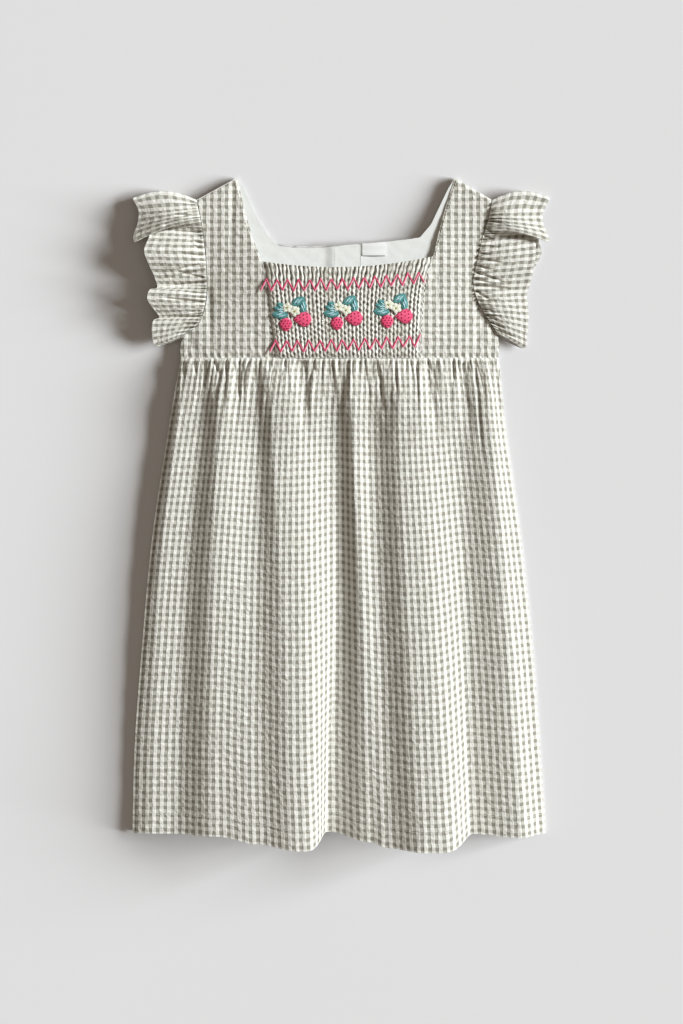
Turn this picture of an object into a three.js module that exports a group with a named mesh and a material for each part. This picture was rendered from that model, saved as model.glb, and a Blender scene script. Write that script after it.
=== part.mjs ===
// A small child's gingham dress with a smocked front and fluttering armhole ruffles, laid flat on its back.
// Millimetres, +Z up: the front faces up, the neck points to +Y, and the origin lies on the surface
// under the middle of the dress.
import * as THREE from 'three';

// Cloth
const CLOTH = 1.2;
const LINING = 1.0;
const SEAM_GAP = 0.3;
const RUFFLE_GAP = 0.5;

// Levels of the layers, from the surface up
const BACK_TOP = CLOTH;
const OVERLAP_UNDER = BACK_TOP + SEAM_GAP;
const LINING_UNDER = BACK_TOP + SEAM_GAP;
const LINING_TOP = LINING_UNDER + LINING;
const LABEL_UNDER = LINING_TOP + SEAM_GAP;
const BODICE_UNDER = LINING_TOP + SEAM_GAP;
const SKIRT_UNDER = BACK_TOP + SEAM_GAP;

// The front of the bodice stands off the back as a low crown
const CROWN = 9.5;
const CROWN_POWER = 2.2;
const CROWN_RUN = 70;
const SHOULDER_Y = 300;
const CHEST_REACH = 119;
const WAIST_REACH = 143;
const REACH_FROM_Y = 150;
const REACH_RUN = 40;

// Side-front panels with their straps, a row of the outer (armhole) and inner (neck) edge, waist upwards
const LEFT_PANEL = [
  { at: 'waist', outX: -142.9, outY: 138.8, inX: -59.8, inY: 138.8 },
  { at: 'underarm', outX: -141.6, outY: 155.4, inX: -62.0, inY: 154.0 },
  { at: 'low armhole', outX: -126.5, outY: 170.5, inX: -63.6, inY: 168.5 },
  { at: 'mid armhole', outX: -120.3, outY: 189.3, inX: -65.6, inY: 186.5 },
  { at: 'chest', outX: -119.2, outY: 206.0, inX: -67.6, inY: 206.0 },
  { at: 'neck corner', outX: -120.0, outY: 224.0, inX: -70.5, inY: 225.0 },
  { at: 'low strap', outX: -121.8, outY: 243.0, inX: -77.2, inY: 242.0 },
  { at: 'high strap', outX: -124.6, outY: 261.6, inX: -84.6, inY: 266.0 },
  { at: 'shoulder', outX: -128.6, outY: 280.4, inX: -92.9, inY: 300.0 },
];
const RIGHT_PANEL = [
  { at: 'waist', outX: 140.2, outY: 138.8, inX: 71.4, inY: 138.8 },
  { at: 'underarm', outX: 140.0, outY: 158.0, inX: 71.6, inY: 156.0 },
  { at: 'low armhole', outX: 126.4, outY: 180.0, inX: 72.4, inY: 172.0 },
  { at: 'mid armhole', outX: 119.2, outY: 196.5, inX: 73.6, inY: 190.0 },
  { at: 'chest', outX: 117.6, outY: 210.0, inX: 76.2, inY: 209.0 },
  { at: 'neck corner', outX: 121.2, outY: 227.0, inX: 82.1, inY: 229.5 },
  { at: 'low strap', outX: 125.6, outY: 246.0, inX: 87.4, inY: 252.0 },
  { at: 'high strap', outX: 130.6, outY: 262.5, inX: 93.6, inY: 274.5 },
  { at: 'shoulder', outX: 134.5, outY: 280.4, inX: 101.8, inY: 300.0 },
];
const PANEL_ROWS = 16;
const PANEL_COLUMNS = 9;
const CORNER_ROW = 10;

// Smocked insert
const SMOCK_PLEATS = 40;
const SMOCK_SAG = 7.5;
const SAG_POWER = 3;
const PLEAT_RISE = 2.4;
const PINCH_RISE = 1.0;
const PINCH_WIDTH = 6;
const PLEAT_SWAY = 0.9;
const ZIGZAG_ROWS = [
  { at: 'lower', leftY: 152, rightY: 155 },
  { at: 'upper', leftY: 206, rightY: 212 },
];

// Skirt
const WAIST_Y = 138.8;
const HEM_Y = -284.8;
const SKIRT_LENGTH = WAIST_Y - HEM_Y;
const SKIRT_SIDES = [
  { drop: 0, left: -142.9, right: 140.2 },
  { drop: 24, left: -147.3, right: 142.9 },
  { drop: 66, left: -154.5, right: 147.3 },
  { drop: 162, left: -168.8, right: 160.7 },
  { drop: 258, left: -177.7, right: 171.0 },
  { drop: 344, left: -184.0, right: 177.4 },
  { drop: SKIRT_LENGTH, left: -186.2, right: 182.8 },
];
// Each fold line, left to right: its x and its rise off the back at four depths down the skirt, how late
// the cloth turns towards the next line, and how far the hem hangs below its level there
const FOLD_DEPTHS = [0, 0.17, 0.5, 1];
const FOLDS = [
  { line: 'left flank', x: [-134.8, -147.3, -161.6, -168.8], rise: [0, 4, 5, 6], late: 1, drop: 0 },
  { line: 'valley 1', x: [-119.6, -127.7, -138.4, -143.8], rise: [0, 2, 1, 1], late: 1, drop: 0 },
  { line: 'crest 1', x: [-106.3, -109.8, -115.2, -115.2], rise: [0, 8, 10, 11], late: 1, drop: 2.5 },
  { line: 'valley 2', x: [-75.9, -75.9, -74.1, -70.5], rise: [0, 4, 7, 10], late: 1, drop: 11 },
  { line: 'crest 2', x: [-58.0, -57.1, -50.9, -42.9], rise: [0, 9, 15, 23], late: 2.6, drop: 12.5 },
  { line: 'valley 3', x: [-5.4, -4.5, -0.9, -6.3], rise: [0, 2, 1, 0.5], late: 1, drop: -1.5 },
  { line: 'crest 3', x: [15.2, 17.0, 24.1, 30.4], rise: [0, 8, 11, 15], late: 1, drop: 7 },
  { line: 'valley 4', x: [32.1, 34.8, 39.3, 45.5], rise: [0, 5, 8, 14.5], late: 1, drop: 11.5 },
  { line: 'crest 4', x: [57.1, 59.8, 63.4, 75.0], rise: [0, 11, 17, 25], late: 2.4, drop: 15.5 },
  { line: 'valley 5', x: [108.0, 108.0, 111.6, 117.0], rise: [0, 3, 2, 0.5], late: 1, drop: 0 },
  { line: 'crest 5', x: [128.6, 134.0, 143.8, 159.8], rise: [0, 8, 11, 15], late: 1, drop: 3.5 },
];
const CROWN_FADE = 0.22;
const PROFILE_STEPS = 240;
const GATHERS = 46;
const GATHER_RISE = 2.4;
const GATHER_DEPTH = 0.13;
const GATHER_FADE = 1.3;
const GATHER_MEAN = 0.72;
const GATHER_SPREAD = 0.28;
const GATHER_BEAT = 2.1;
const GATHERED_ROWS = [0, 0.02, 0.045, 0.08];
const SMOOTH_ROWS = [0.13, 0.2, 0.29, 0.39, 0.5, 0.62, 0.74, 0.85, 0.94, 1];
const BACK_HEM_LIFT = 2;

// Centre-back placket: the left half laps over the right one
const PLACKET_FROM = -6.3;
const PLACKET_TO = 17.0;
const LAP_RUN = 3;
const BACK_NECK_LEFT = [
  { x: -86.4, y: 289.5 },
  { x: -79.5, y: 273.2 },
  { x: -71.4, y: 258.5 },
  { x: -62.5, y: 244.5 },
  { x: -53.6, y: 239.4 },
  { x: -30.0, y: 237.5 },
];
const BACK_NECK_RIGHT = [
  { x: 46.4, y: 243.6 },
  { x: 70.0, y: 246.4 },
  { x: 80.4, y: 258.5 },
  { x: 89.7, y: 278.1 },
  { x: 95.6, y: 290.5 },
];
const NECK_AT_LAP = 239.0;
const NECK_AT_EDGE = 241.0;
const LABEL = { left: 19.0, right: 40.2, bottom: 230.6, top: 241.6 };

// Ruffle ribs, each from the armhole seam out to the free edge, from the underarm up to the shoulder:
// its height up the seam, its tip, the height of the cloth at the tip and the swell halfway out
const LEFT_RIBS = [
  { seamY: 156.6, tipX: -147.0, tipY: 155.2, tipZ: 3.6, swell: 0 },
  { seamY: 158.6, tipX: -155.5, tipY: 151.6, tipZ: 4.2, swell: 0.4 },
  { seamY: 161.0, tipX: -166.1, tipY: 150.0, tipZ: 5.4, swell: 1.0 },
  { seamY: 166.5, tipX: -168.5, tipY: 163.0, tipZ: 9.0, swell: 1.5 },
  { seamY: 172.5, tipX: -167.0, tipY: 172.5, tipZ: 9.0, swell: 0.8 },
  { seamY: 178.0, tipX: -162.0, tipY: 175.5, tipZ: 4.4, swell: 0 },
  { seamY: 184.0, tipX: -168.0, tipY: 184.0, tipZ: 9.0, swell: 1.8 },
  { seamY: 190.5, tipX: -172.3, tipY: 191.5, tipZ: 13.5, swell: 2.6 },
  { seamY: 197.0, tipX: -170.3, tipY: 199.7, tipZ: 12.5, swell: 1.6 },
  { seamY: 203.5, tipX: -163.9, tipY: 202.0, tipZ: 5.0, swell: -0.4 },
  { seamY: 212.0, tipX: -166.5, tipY: 210.5, tipZ: 5.6, swell: 0 },
  { seamY: 223.0, tipX: -171.9, tipY: 224.0, tipZ: 10.5, swell: 1.6 },
  { seamY: 234.0, tipX: -175.2, tipY: 235.0, tipZ: 13.0, swell: 2.4 },
  { seamY: 245.0, tipX: -171.4, tipY: 246.0, tipZ: 10.0, swell: 1.4 },
  { seamY: 252.0, tipX: -169.4, tipY: 254.5, tipZ: 5.6, swell: 0 },
  { seamY: 257.5, tipX: -171.5, tipY: 257.0, tipZ: 7.4, swell: 0.8 },
  { seamY: 261.0, tipX: -183.4, tipY: 246.0, tipZ: 12.0, swell: 1.8, bow: 3.0 },
  { seamY: 264.0, tipX: -185.0, tipY: 250.0, tipZ: 16.0, swell: 2.6, bow: 2.0 },
  { seamY: 269.5, tipX: -181.0, tipY: 260.5, tipZ: 17.0, swell: 3.0 },
  { seamY: 274.5, tipX: -181.0, tipY: 271.5, tipZ: 11.5, swell: 2.4 },
];
const RIGHT_RIBS = [
  { seamY: 160.0, tipX: 146.0, tipY: 155.4, tipZ: 3.6, swell: 0 },
  { seamY: 161.8, tipX: 154.0, tipY: 150.6, tipZ: 4.2, swell: 0.4 },
  { seamY: 164.5, tipX: 164.7, tipY: 148.2, tipZ: 5.6, swell: 1.0 },
  { seamY: 170.5, tipX: 166.0, tipY: 160.0, tipZ: 9.0, swell: 2.0 },
  { seamY: 177.5, tipX: 167.2, tipY: 172.0, tipZ: 12.5, swell: 3.0 },
  { seamY: 185.0, tipX: 167.0, tipY: 184.0, tipZ: 14.0, swell: 3.0 },
  { seamY: 192.0, tipX: 165.8, tipY: 194.5, tipZ: 10.0, swell: 1.6 },
  { seamY: 199.0, tipX: 168.0, tipY: 202.5, tipZ: 5.2, swell: 0 },
  { seamY: 209.0, tipX: 170.5, tipY: 213.0, tipZ: 4.8, swell: 0.4 },
  { seamY: 221.0, tipX: 173.2, tipY: 226.0, tipZ: 6.4, swell: 1.2 },
  { seamY: 233.0, tipX: 173.8, tipY: 239.0, tipZ: 7.6, swell: 1.2 },
  { seamY: 243.0, tipX: 173.6, tipY: 248.0, tipZ: 5.8, swell: 0 },
  { seamY: 249.0, tipX: 175.5, tipY: 251.0, tipZ: 7.4, swell: 0.8 },
  { seamY: 253.0, tipX: 183.6, tipY: 243.4, tipZ: 12.0, swell: 1.8, bow: 3.0 },
  { seamY: 256.5, tipX: 185.0, tipY: 247.5, tipZ: 16.5, swell: 2.6, bow: 2.0 },
  { seamY: 262.0, tipX: 180.6, tipY: 258.5, tipZ: 17.5, swell: 3.0 },
  { seamY: 268.5, tipX: 180.0, tipY: 270.0, tipZ: 12.0, swell: 2.4 },
];
// Over the shoulder the ruffle turns on a fold line and lies flat under the front half
const LEFT_FOLD = { seamY: 278.4, tipX: -185.5, tipY: 280.4, tipZ: 6.2, swell: 0.8, bow: 6 };
const RIGHT_FOLD = { seamY: 278.4, tipX: 185.6, tipY: 280.6, tipZ: 6.2, swell: 0.8, bow: 6 };
const TURN_STEPS = 4;
const LEFT_BACK_RIBS = [
  { seamY: 262.0, tipX: -176.0, tipY: 259.0 },
  { seamY: 240.0, tipX: -170.0, tipY: 238.0 },
  { seamY: 216.0, tipX: -163.0, tipY: 213.0 },
  { seamY: 192.0, tipX: -162.0, tipY: 189.0 },
  { seamY: 172.0, tipX: -162.0, tipY: 166.0 },
  { seamY: 158.5, tipX: -151.0, tipY: 156.0 },
];
const RIGHT_BACK_RIBS = [
  { seamY: 262.0, tipX: 176.0, tipY: 259.0 },
  { seamY: 244.0, tipX: 177.0, tipY: 243.0 },
  { seamY: 232.0, tipX: 178.6, tipY: 231.0 },
  { seamY: 206.0, tipX: 165.0, tipY: 204.0 },
  { seamY: 180.0, tipX: 162.0, tipY: 170.0 },
  { seamY: 162.5, tipX: 151.0, tipY: 155.0 },
];
const RIB_COLUMNS = ['seamY', 'tipX', 'tipY', 'tipZ', 'swell', 'bow'];
const RIB_STEPS = 3;
const NORMAL_REACH = 0.5;
const OUT_REACH = 0.1;
const SEAM_SEARCH = 1e-5;
const RIB_OUT = [0, 0.18, 0.42, 0.7, 1];
const RUFFLE_SEAM_Z = BODICE_UNDER + CLOTH;
const RUFFLE_GATHER = 0.8;
const RUFFLE_GATHER_REACH = 0.4;

const GINGHAM = new THREE.MeshStandardMaterial({ color: '#c9c4b9', roughness: 0.92 });
const GINGHAM_BACK = new THREE.MeshStandardMaterial({ color: '#bdb8ad', roughness: 0.92 });
const SMOCKING = new THREE.MeshStandardMaterial({ color: '#d6d1c7', roughness: 0.94 });
const WHITE_LINING = new THREE.MeshStandardMaterial({ color: '#f0f0ee', roughness: 0.88 });
const LABEL_TAPE = new THREE.MeshStandardMaterial({ color: '#fbfbfa', roughness: 0.6 });

// Numbers
const lerp = THREE.MathUtils.lerp;
const smooth = (t) => THREE.MathUtils.smoothstep(t, 0, 1);

// A smooth curve through values at rising places, read at one place
function through(places, values, at) {
  const last = places.length - 1;
  let k = 0;
  while (k < last - 1 && at > places[k + 1]) k += 1;
  const slope = (i) => {
    const a = Math.max(i - 1, 0);
    const b = Math.min(i + 1, last);
    return (values[b] - values[a]) / (places[b] - places[a]);
  };
  const span = places[k + 1] - places[k];
  const t = THREE.MathUtils.clamp((at - places[k]) / span, 0, 1);
  const bend = t * t * (3 - 2 * t);
  const enter = t * (1 - t) * (1 - t) * span * slope(k);
  const leave = t * t * (t - 1) * span * slope(k + 1);
  return lerp(values[k], values[k + 1], bend) + enter + leave;
}

// Walls of cloth
// Joins two lines of vertices that run the same way, whatever their counts
function bridge(a, b, faces) {
  let i = 0;
  let j = 0;
  while (i < a.length - 1 || j < b.length - 1) {
    const aheadA = (i + 1) / (a.length - 1);
    const aheadB = (j + 1) / (b.length - 1);
    if (j === b.length - 1 || (i < a.length - 1 && aheadA <= aheadB)) {
      faces.push([a[i], a[i + 1], b[j]]);
      i += 1;
    } else {
      faces.push([a[i], b[j + 1], b[j]]);
      j += 1;
    }
  }
}

function signedVolume(points, faces) {
  const cross = new THREE.Vector3();
  const volumes = faces.map(([a, b, c]) => cross.crossVectors(points[b], points[c]).dot(points[a]) / 6);
  return volumes.reduce((sum, volume) => sum + volume, 0);
}

function solid(points, faces) {
  const outward = signedVolume(points, faces) > 0 ? faces : faces.map(([a, b, c]) => [a, c, b]);
  const places = points.flatMap((p) => [p.x, p.y, p.z]);
  const geometry = new THREE.BufferGeometry();
  geometry.setAttribute('position', new THREE.Float32BufferAttribute(places, 3));
  geometry.setIndex(outward.flat());
  geometry.computeVertexNormals();
  return geometry;
}

// A closed wall between an outer and an inner surface, each a list of rows of points
function wall(outer, inner) {
  const points = [];
  const number = (rows) => rows.map((row) => row.map((point) => points.push(point) - 1));
  const over = number(outer);
  const under = number(inner);
  const faces = [];
  for (let k = 0; k < over.length - 1; k += 1) bridge(over[k + 1], over[k], faces);
  for (let k = 0; k < under.length - 1; k += 1) bridge(under[k], under[k + 1], faces);
  const side = (rows, at) => rows.map((row) => row.at(at));
  bridge(over[0], under[0], faces);
  bridge(under.at(-1), over.at(-1), faces);
  bridge(side(under, 0), side(over, 0), faces);
  bridge(side(over, -1), side(under, -1), faces);
  return solid(points, faces);
}

// A flat panel made of outlines that share their edges, between two levels that may change across it
function panel(outlines, top, bottom) {
  const flat = [];
  const found = new Map();
  const vertex = (p) => {
    const key = `${p.x.toFixed(4)} ${p.y.toFixed(4)}`;
    if (!found.has(key)) found.set(key, flat.push(p) - 1);
    return found.get(key);
  };
  const triangles = outlines.flatMap((outline) =>
    THREE.ShapeUtils.triangulateShape(outline, []).map((triangle) => triangle.map((i) => vertex(outline[i]))));
  const count = flat.length;
  const points = [
    ...flat.map((p) => new THREE.Vector3(p.x, p.y, top(p.x))),
    ...flat.map((p) => new THREE.Vector3(p.x, p.y, bottom(p.x))),
  ];
  const faces = triangles.flatMap(([a, b, c]) => [[a, b, c], [a + count, c + count, b + count]]);
  const edges = triangles.flatMap(([a, b, c]) => [[a, b], [b, c], [c, a]]);
  const inside = new Set(edges.map(([a, b]) => `${b} ${a}`));
  for (const [a, b] of edges) {
    if (!inside.has(`${a} ${b}`)) faces.push([b, a, a + count], [b, a + count, b + count]);
  }
  return solid(points, faces);
}

// Front of the bodice
function bodiceUnder(x, y) {
  const reach = lerp(WAIST_REACH, CHEST_REACH, smooth((y - REACH_FROM_Y) / REACH_RUN));
  const across = Math.max(0, 1 - Math.abs(x / reach) ** CROWN_POWER);
  return BODICE_UNDER + CROWN * across * smooth((SHOULDER_Y - y) / CROWN_RUN);
}

function edgeCurve(table, x, y) {
  return new THREE.SplineCurve(table.map((row) => new THREE.Vector2(row[x], row[y])));
}

const leftArmhole = edgeCurve(LEFT_PANEL, 'outX', 'outY');
const rightArmhole = edgeCurve(RIGHT_PANEL, 'outX', 'outY');
const leftNeckEdge = edgeCurve(LEFT_PANEL, 'inX', 'inY');
const rightNeckEdge = edgeCurve(RIGHT_PANEL, 'inX', 'inY');

function frontPanel(outerEdge, innerEdge) {
  const outer = [];
  const inner = [];
  for (let k = PANEL_ROWS; k >= 0; k -= 1) {
    const from = outerEdge.getPoint(k / PANEL_ROWS);
    const to = innerEdge.getPoint(k / PANEL_ROWS);
    const row = [];
    const under = [];
    for (let i = 0; i <= PANEL_COLUMNS; i += 1) {
      const p = from.clone().lerp(to, i / PANEL_COLUMNS);
      const z = bodiceUnder(p.x, p.y);
      row.push(new THREE.Vector3(p.x, p.y, z + CLOTH));
      under.push(new THREE.Vector3(p.x, p.y, z));
    }
    outer.push(row);
    inner.push(under);
  }
  return wall(outer, inner);
}

// Pleats stand proud everywhere but where the zigzag stitches pinch them
function pleatRise(share, y) {
  const pinch = ZIGZAG_ROWS.reduce((most, row) => {
    const away = Math.abs(y - lerp(row.leftY, row.rightY, share)) / PINCH_WIDTH;
    return Math.max(most, 1 - smooth(away));
  }, 0);
  return lerp(PLEAT_RISE, PINCH_RISE, pinch);
}

function smockedFront() {
  const outer = [];
  const inner = [];
  for (let k = CORNER_ROW; k >= 0; k -= 1) {
    const from = leftNeckEdge.getPoint(k / PANEL_ROWS);
    const to = rightNeckEdge.getPoint(k / PANEL_ROWS);
    from.x += SEAM_GAP;
    to.x -= SEAM_GAP;
    const sag = SMOCK_SAG * (k / CORNER_ROW) ** SAG_POWER;
    const at = (share) => {
      const p = from.clone().lerp(to, share);
      p.y -= sag * 4 * share * (1 - share);
      return p;
    };
    const row = [];
    const under = [];
    for (let i = 0; i <= SMOCK_PLEATS * 2; i += 1) {
      const share = i / (SMOCK_PLEATS * 2);
      const p = at(share);
      const pleat = i % 2;
      const pair = i % 4 === 1 ? 1 : -1;
      const rise = pleat * pleatRise(share, p.y);
      const edgeRow = k === 0 || k === CORNER_ROW;
      const sway = edgeRow ? 0 : pleat * pair * PLEAT_SWAY * (k % 2 === 0 ? 1 : -1);
      row.push(new THREE.Vector3(p.x + sway, p.y, bodiceUnder(p.x, p.y) + CLOTH + rise));
      if (i % 2 === 0) under.push(new THREE.Vector3(p.x, p.y, bodiceUnder(p.x, p.y)));
    }
    outer.push(row);
    inner.push(under);
  }
  return wall(outer, inner);
}

// Front of the skirt
function sideAt(depth, side) {
  return through(SKIRT_SIDES.map((row) => row.drop), SKIRT_SIDES.map((row) => row[side]), depth * SKIRT_LENGTH);
}

// The fold lines at one depth, edge to edge
function foldLines(depth) {
  const edge = { rise: 0, late: 1, drop: 0 };
  const lines = FOLDS.map((fold) => ({
    x: through(FOLD_DEPTHS, fold.x, depth),
    rise: through(FOLD_DEPTHS, fold.rise, depth),
    late: lerp(1, fold.late, depth),
    drop: fold.drop,
  }));
  return [{ ...edge, x: sideAt(depth, 'left') }, ...lines, { ...edge, x: sideAt(depth, 'right') }];
}

// Rise of the folds and drop of the hem at x, between the two nearest lines
function between(lines, x, key) {
  let k = 0;
  while (k < lines.length - 2 && x > lines[k + 1].x) k += 1;
  const t = THREE.MathUtils.clamp((x - lines[k].x) / (lines[k + 1].x - lines[k].x), 0, 1);
  return lerp(lines[k][key], lines[k + 1][key], smooth(t ** lines[k].late));
}

// Points spaced evenly along the cloth across the skirt at one depth
function skirtRow(depth, count) {
  const lines = foldLines(depth);
  const crown = 1 - smooth(depth / CROWN_FADE);
  const height = (x) => {
    const held = bodiceUnder(x, WAIST_Y) - SKIRT_UNDER;
    return SKIRT_UNDER + Math.max(0, between(lines, x, 'rise')) + crown * held;
  };
  const left = lines[0].x;
  const right = lines.at(-1).x;
  const step = (right - left) / PROFILE_STEPS;
  const along = [0];
  for (let i = 1; i <= PROFILE_STEPS; i += 1) {
    const x = left + i * step;
    along.push(along[i - 1] + Math.hypot(step, height(x) - height(x - step)));
  }
  const row = [];
  let i = 0;
  for (let c = 0; c <= count; c += 1) {
    const wanted = (c / count) * along.at(-1);
    while (i < PROFILE_STEPS - 1 && along[i + 1] < wanted) i += 1;
    const x = left + (i + (wanted - along[i]) / (along[i + 1] - along[i])) * step;
    const slope = (height(x + step / 2) - height(x - step / 2)) / step;
    const y = lerp(WAIST_Y - SEAM_GAP, HEM_Y - between(lines, x, 'drop'), depth);
    row.push({ x, y, under: height(x), thick: CLOTH * Math.hypot(1, slope) });
  }
  row[0].under = SKIRT_UNDER + crown * (bodiceUnder(left, WAIST_Y) - SKIRT_UNDER);
  row[0].thick = CLOTH;
  row[count].thick = CLOTH;
  return row;
}

function gatherRise(column, depth) {
  const uneven = GATHER_MEAN + GATHER_SPREAD * Math.sin(column * GATHER_BEAT);
  const fade = Math.max(0, 1 - depth / GATHER_DEPTH) ** GATHER_FADE;
  return (column % 2) * GATHER_RISE * uneven * fade;
}

function frontSkirt() {
  const outer = [];
  const inner = [];
  for (const depth of GATHERED_ROWS) {
    const row = skirtRow(depth, GATHERS * 2);
    outer.push(row.map((p, i) => new THREE.Vector3(p.x, p.y, p.under + p.thick + gatherRise(i, depth))));
    inner.push(row.filter((p, i) => i % 2 === 0).map((p) => new THREE.Vector3(p.x, p.y, p.under)));
  }
  for (const depth of SMOOTH_ROWS) {
    const row = skirtRow(depth, GATHERS);
    outer.push(row.map((p) => new THREE.Vector3(p.x, p.y, p.under + p.thick)));
    inner.push(row.map((p) => new THREE.Vector3(p.x, p.y, p.under)));
  }
  return wall(outer, inner);
}

// Back panels and their lining
const flatPoint = (p) => new THREE.Vector2(p.x, p.y);

function backSkirt() {
  const depths = [0, ...SMOOTH_ROWS];
  const edge = (side) => depths.map((depth) => new THREE.Vector2(
    sideAt(depth, side),
    lerp(WAIST_Y - SEAM_GAP, HEM_Y + BACK_HEM_LIFT, depth),
  ));
  const outline = [...edge('left'), ...edge('right').reverse()];
  return panel([outline], () => BACK_TOP, () => 0);
}

function armholeEdge(curve) {
  return curve.getPoints(PANEL_ROWS);
}

// The left half of the back up to the placket, where it steps over the right half
function leftBackOutlines() {
  const lapStart = PLACKET_FROM - LAP_RUN;
  const shoulder = leftNeckEdge.getPoint(1);
  const outline = [
    new THREE.Vector2(lapStart, WAIST_Y),
    new THREE.Vector2(lapStart, NECK_AT_LAP),
    ...BACK_NECK_LEFT.map(flatPoint).reverse(),
    shoulder,
    ...armholeEdge(leftArmhole).reverse(),
  ];
  const strip = (from, to, topFrom, topTo) => [
    new THREE.Vector2(from, WAIST_Y),
    new THREE.Vector2(to, WAIST_Y),
    new THREE.Vector2(to, topTo),
    new THREE.Vector2(from, topFrom),
  ];
  return [
    outline,
    strip(lapStart, PLACKET_FROM, NECK_AT_LAP, NECK_AT_LAP),
    strip(PLACKET_FROM, PLACKET_TO, NECK_AT_LAP, NECK_AT_EDGE),
  ];
}

function rightBackOutline(from) {
  const low = from < PLACKET_TO ? NECK_AT_LAP : NECK_AT_EDGE;
  return [
    new THREE.Vector2(from, WAIST_Y),
    ...armholeEdge(rightArmhole),
    rightNeckEdge.getPoint(1),
    ...BACK_NECK_RIGHT.map(flatPoint).reverse(),
    new THREE.Vector2(from, low),
  ];
}

function backBodiceLeft() {
  const lift = (x) => (x < PLACKET_FROM - LAP_RUN / 2 ? 0 : OVERLAP_UNDER);
  return panel(leftBackOutlines(), (x) => lift(x) + CLOTH, lift);
}

function backBodiceRight() {
  return panel([rightBackOutline(PLACKET_FROM)], () => BACK_TOP, () => 0);
}

function backLiningLeft() {
  const lift = (x) => LINING_UNDER + (x < PLACKET_FROM - LAP_RUN / 2 ? 0 : OVERLAP_UNDER);
  return panel(leftBackOutlines(), (x) => lift(x) + LINING, lift);
}

function backLiningRight() {
  return panel([rightBackOutline(PLACKET_TO + SEAM_GAP)], () => LINING_TOP, () => LINING_UNDER);
}

function backLabel() {
  const outline = [
    new THREE.Vector2(LABEL.left, LABEL.bottom),
    new THREE.Vector2(LABEL.right, LABEL.bottom),
    new THREE.Vector2(LABEL.right, LABEL.top),
    new THREE.Vector2(LABEL.left, LABEL.top),
  ];
  return panel([outline], () => LABEL_UNDER + LINING, () => LABEL_UNDER);
}

// Armhole ruffles
// The place at a height up the armhole seam, set off from it by the gap, away from the middle
function besideSeam(armhole, y, side) {
  let low = 0;
  let high = 1;
  while (high - low > SEAM_SEARCH) {
    const middle = (low + high) / 2;
    if (armhole.getPoint(middle).y < y) low = middle;
    else high = middle;
  }
  const place = armhole.getPoint(low);
  const along = armhole.getTangent(low);
  return new THREE.Vector2(place.x + side * along.y * RUFFLE_GAP, place.y - side * along.x * RUFFLE_GAP);
}

// A point of one rib, from the seam (out 0) to the free edge (out 1)
function ribPoint(rib, armhole, out) {
  const side = Math.sign(rib.tipX);
  const seam = besideSeam(armhole, rib.seamY, side);
  const bow = (rib.bow ?? 0) * Math.sin(Math.PI * out);
  return new THREE.Vector3(
    lerp(seam.x, rib.tipX, out),
    lerp(seam.y, rib.tipY, out) + bow,
    lerp(RUFFLE_SEAM_Z, rib.tipZ ?? 0, out) + (rib.swell ?? 0) * Math.sin(Math.PI * out),
  );
}

function ribBetween(ribs, at) {
  const places = ribs.map((rib, i) => i);
  const read = (key) => through(places, ribs.map((rib) => rib[key] ?? 0), at);
  return Object.fromEntries(RIB_COLUMNS.map((key) => [key, read(key)]));
}

function ruffle(frontRibs, fold, backRibs, armhole) {
  const ribs = [...frontRibs, fold];
  const side = Math.sign(fold.tipX);
  const steps = (ribs.length - 1) * RIB_STEPS;
  const outer = RIB_OUT.map(() => []);
  const inner = RIB_OUT.map(() => []);
  const frontPoint = (at, out) => ribPoint(ribBetween(ribs, at), armhole, out);
  // Front half: waves whose wall is measured square to the cloth
  for (let i = 0; i < steps; i += 1) {
    const at = i / RIB_STEPS;
    RIB_OUT.forEach((out, j) => {
      const p = frontPoint(at, out);
      const further = frontPoint(Math.min(at + NORMAL_REACH, ribs.length - 1), out);
      const along = further.sub(frontPoint(Math.max(at - NORMAL_REACH, 0), out));
      const towardsTip = frontPoint(at, Math.min(out + OUT_REACH, 1));
      const outwards = towardsTip.sub(frontPoint(at, Math.max(out - OUT_REACH, 0)));
      const normal = new THREE.Vector3().crossVectors(outwards, along).multiplyScalar(side).normalize();
      if (out === 0) normal.setX(0).normalize();
      const gather = (i % 2) * RUFFLE_GATHER * Math.max(0, 1 - out / RUFFLE_GATHER_REACH);
      outer[j].push(p.clone().addScaledVector(normal, gather));
      inner[j].push(p.clone().addScaledVector(normal, -CLOTH));
    });
  }
  // Turn over the shoulder
  for (let i = 0; i <= TURN_STEPS; i += 1) {
    const turn = (Math.PI * i) / TURN_STEPS;
    RIB_OUT.forEach((out, j) => {
      const p = ribPoint(fold, armhole, out);
      const radius = p.z / 2;
      const around = (r) => new THREE.Vector3(p.x, p.y + r * Math.sin(turn), radius + r * Math.cos(turn));
      outer[j].push(around(radius));
      inner[j].push(around(radius - CLOTH));
    });
  }
  // Back half: flat on the surface
  for (const rib of backRibs) {
    RIB_OUT.forEach((out, j) => {
      const p = ribPoint(rib, armhole, out);
      outer[j].push(new THREE.Vector3(p.x, p.y, 0));
      inner[j].push(new THREE.Vector3(p.x, p.y, CLOTH));
    });
  }
  return wall(outer, inner);
}

// The dress
const dress = new THREE.Group();

function add(name, geometry, material) {
  const mesh = new THREE.Mesh(geometry, material);
  mesh.name = name;
  dress.add(mesh);
}

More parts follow.
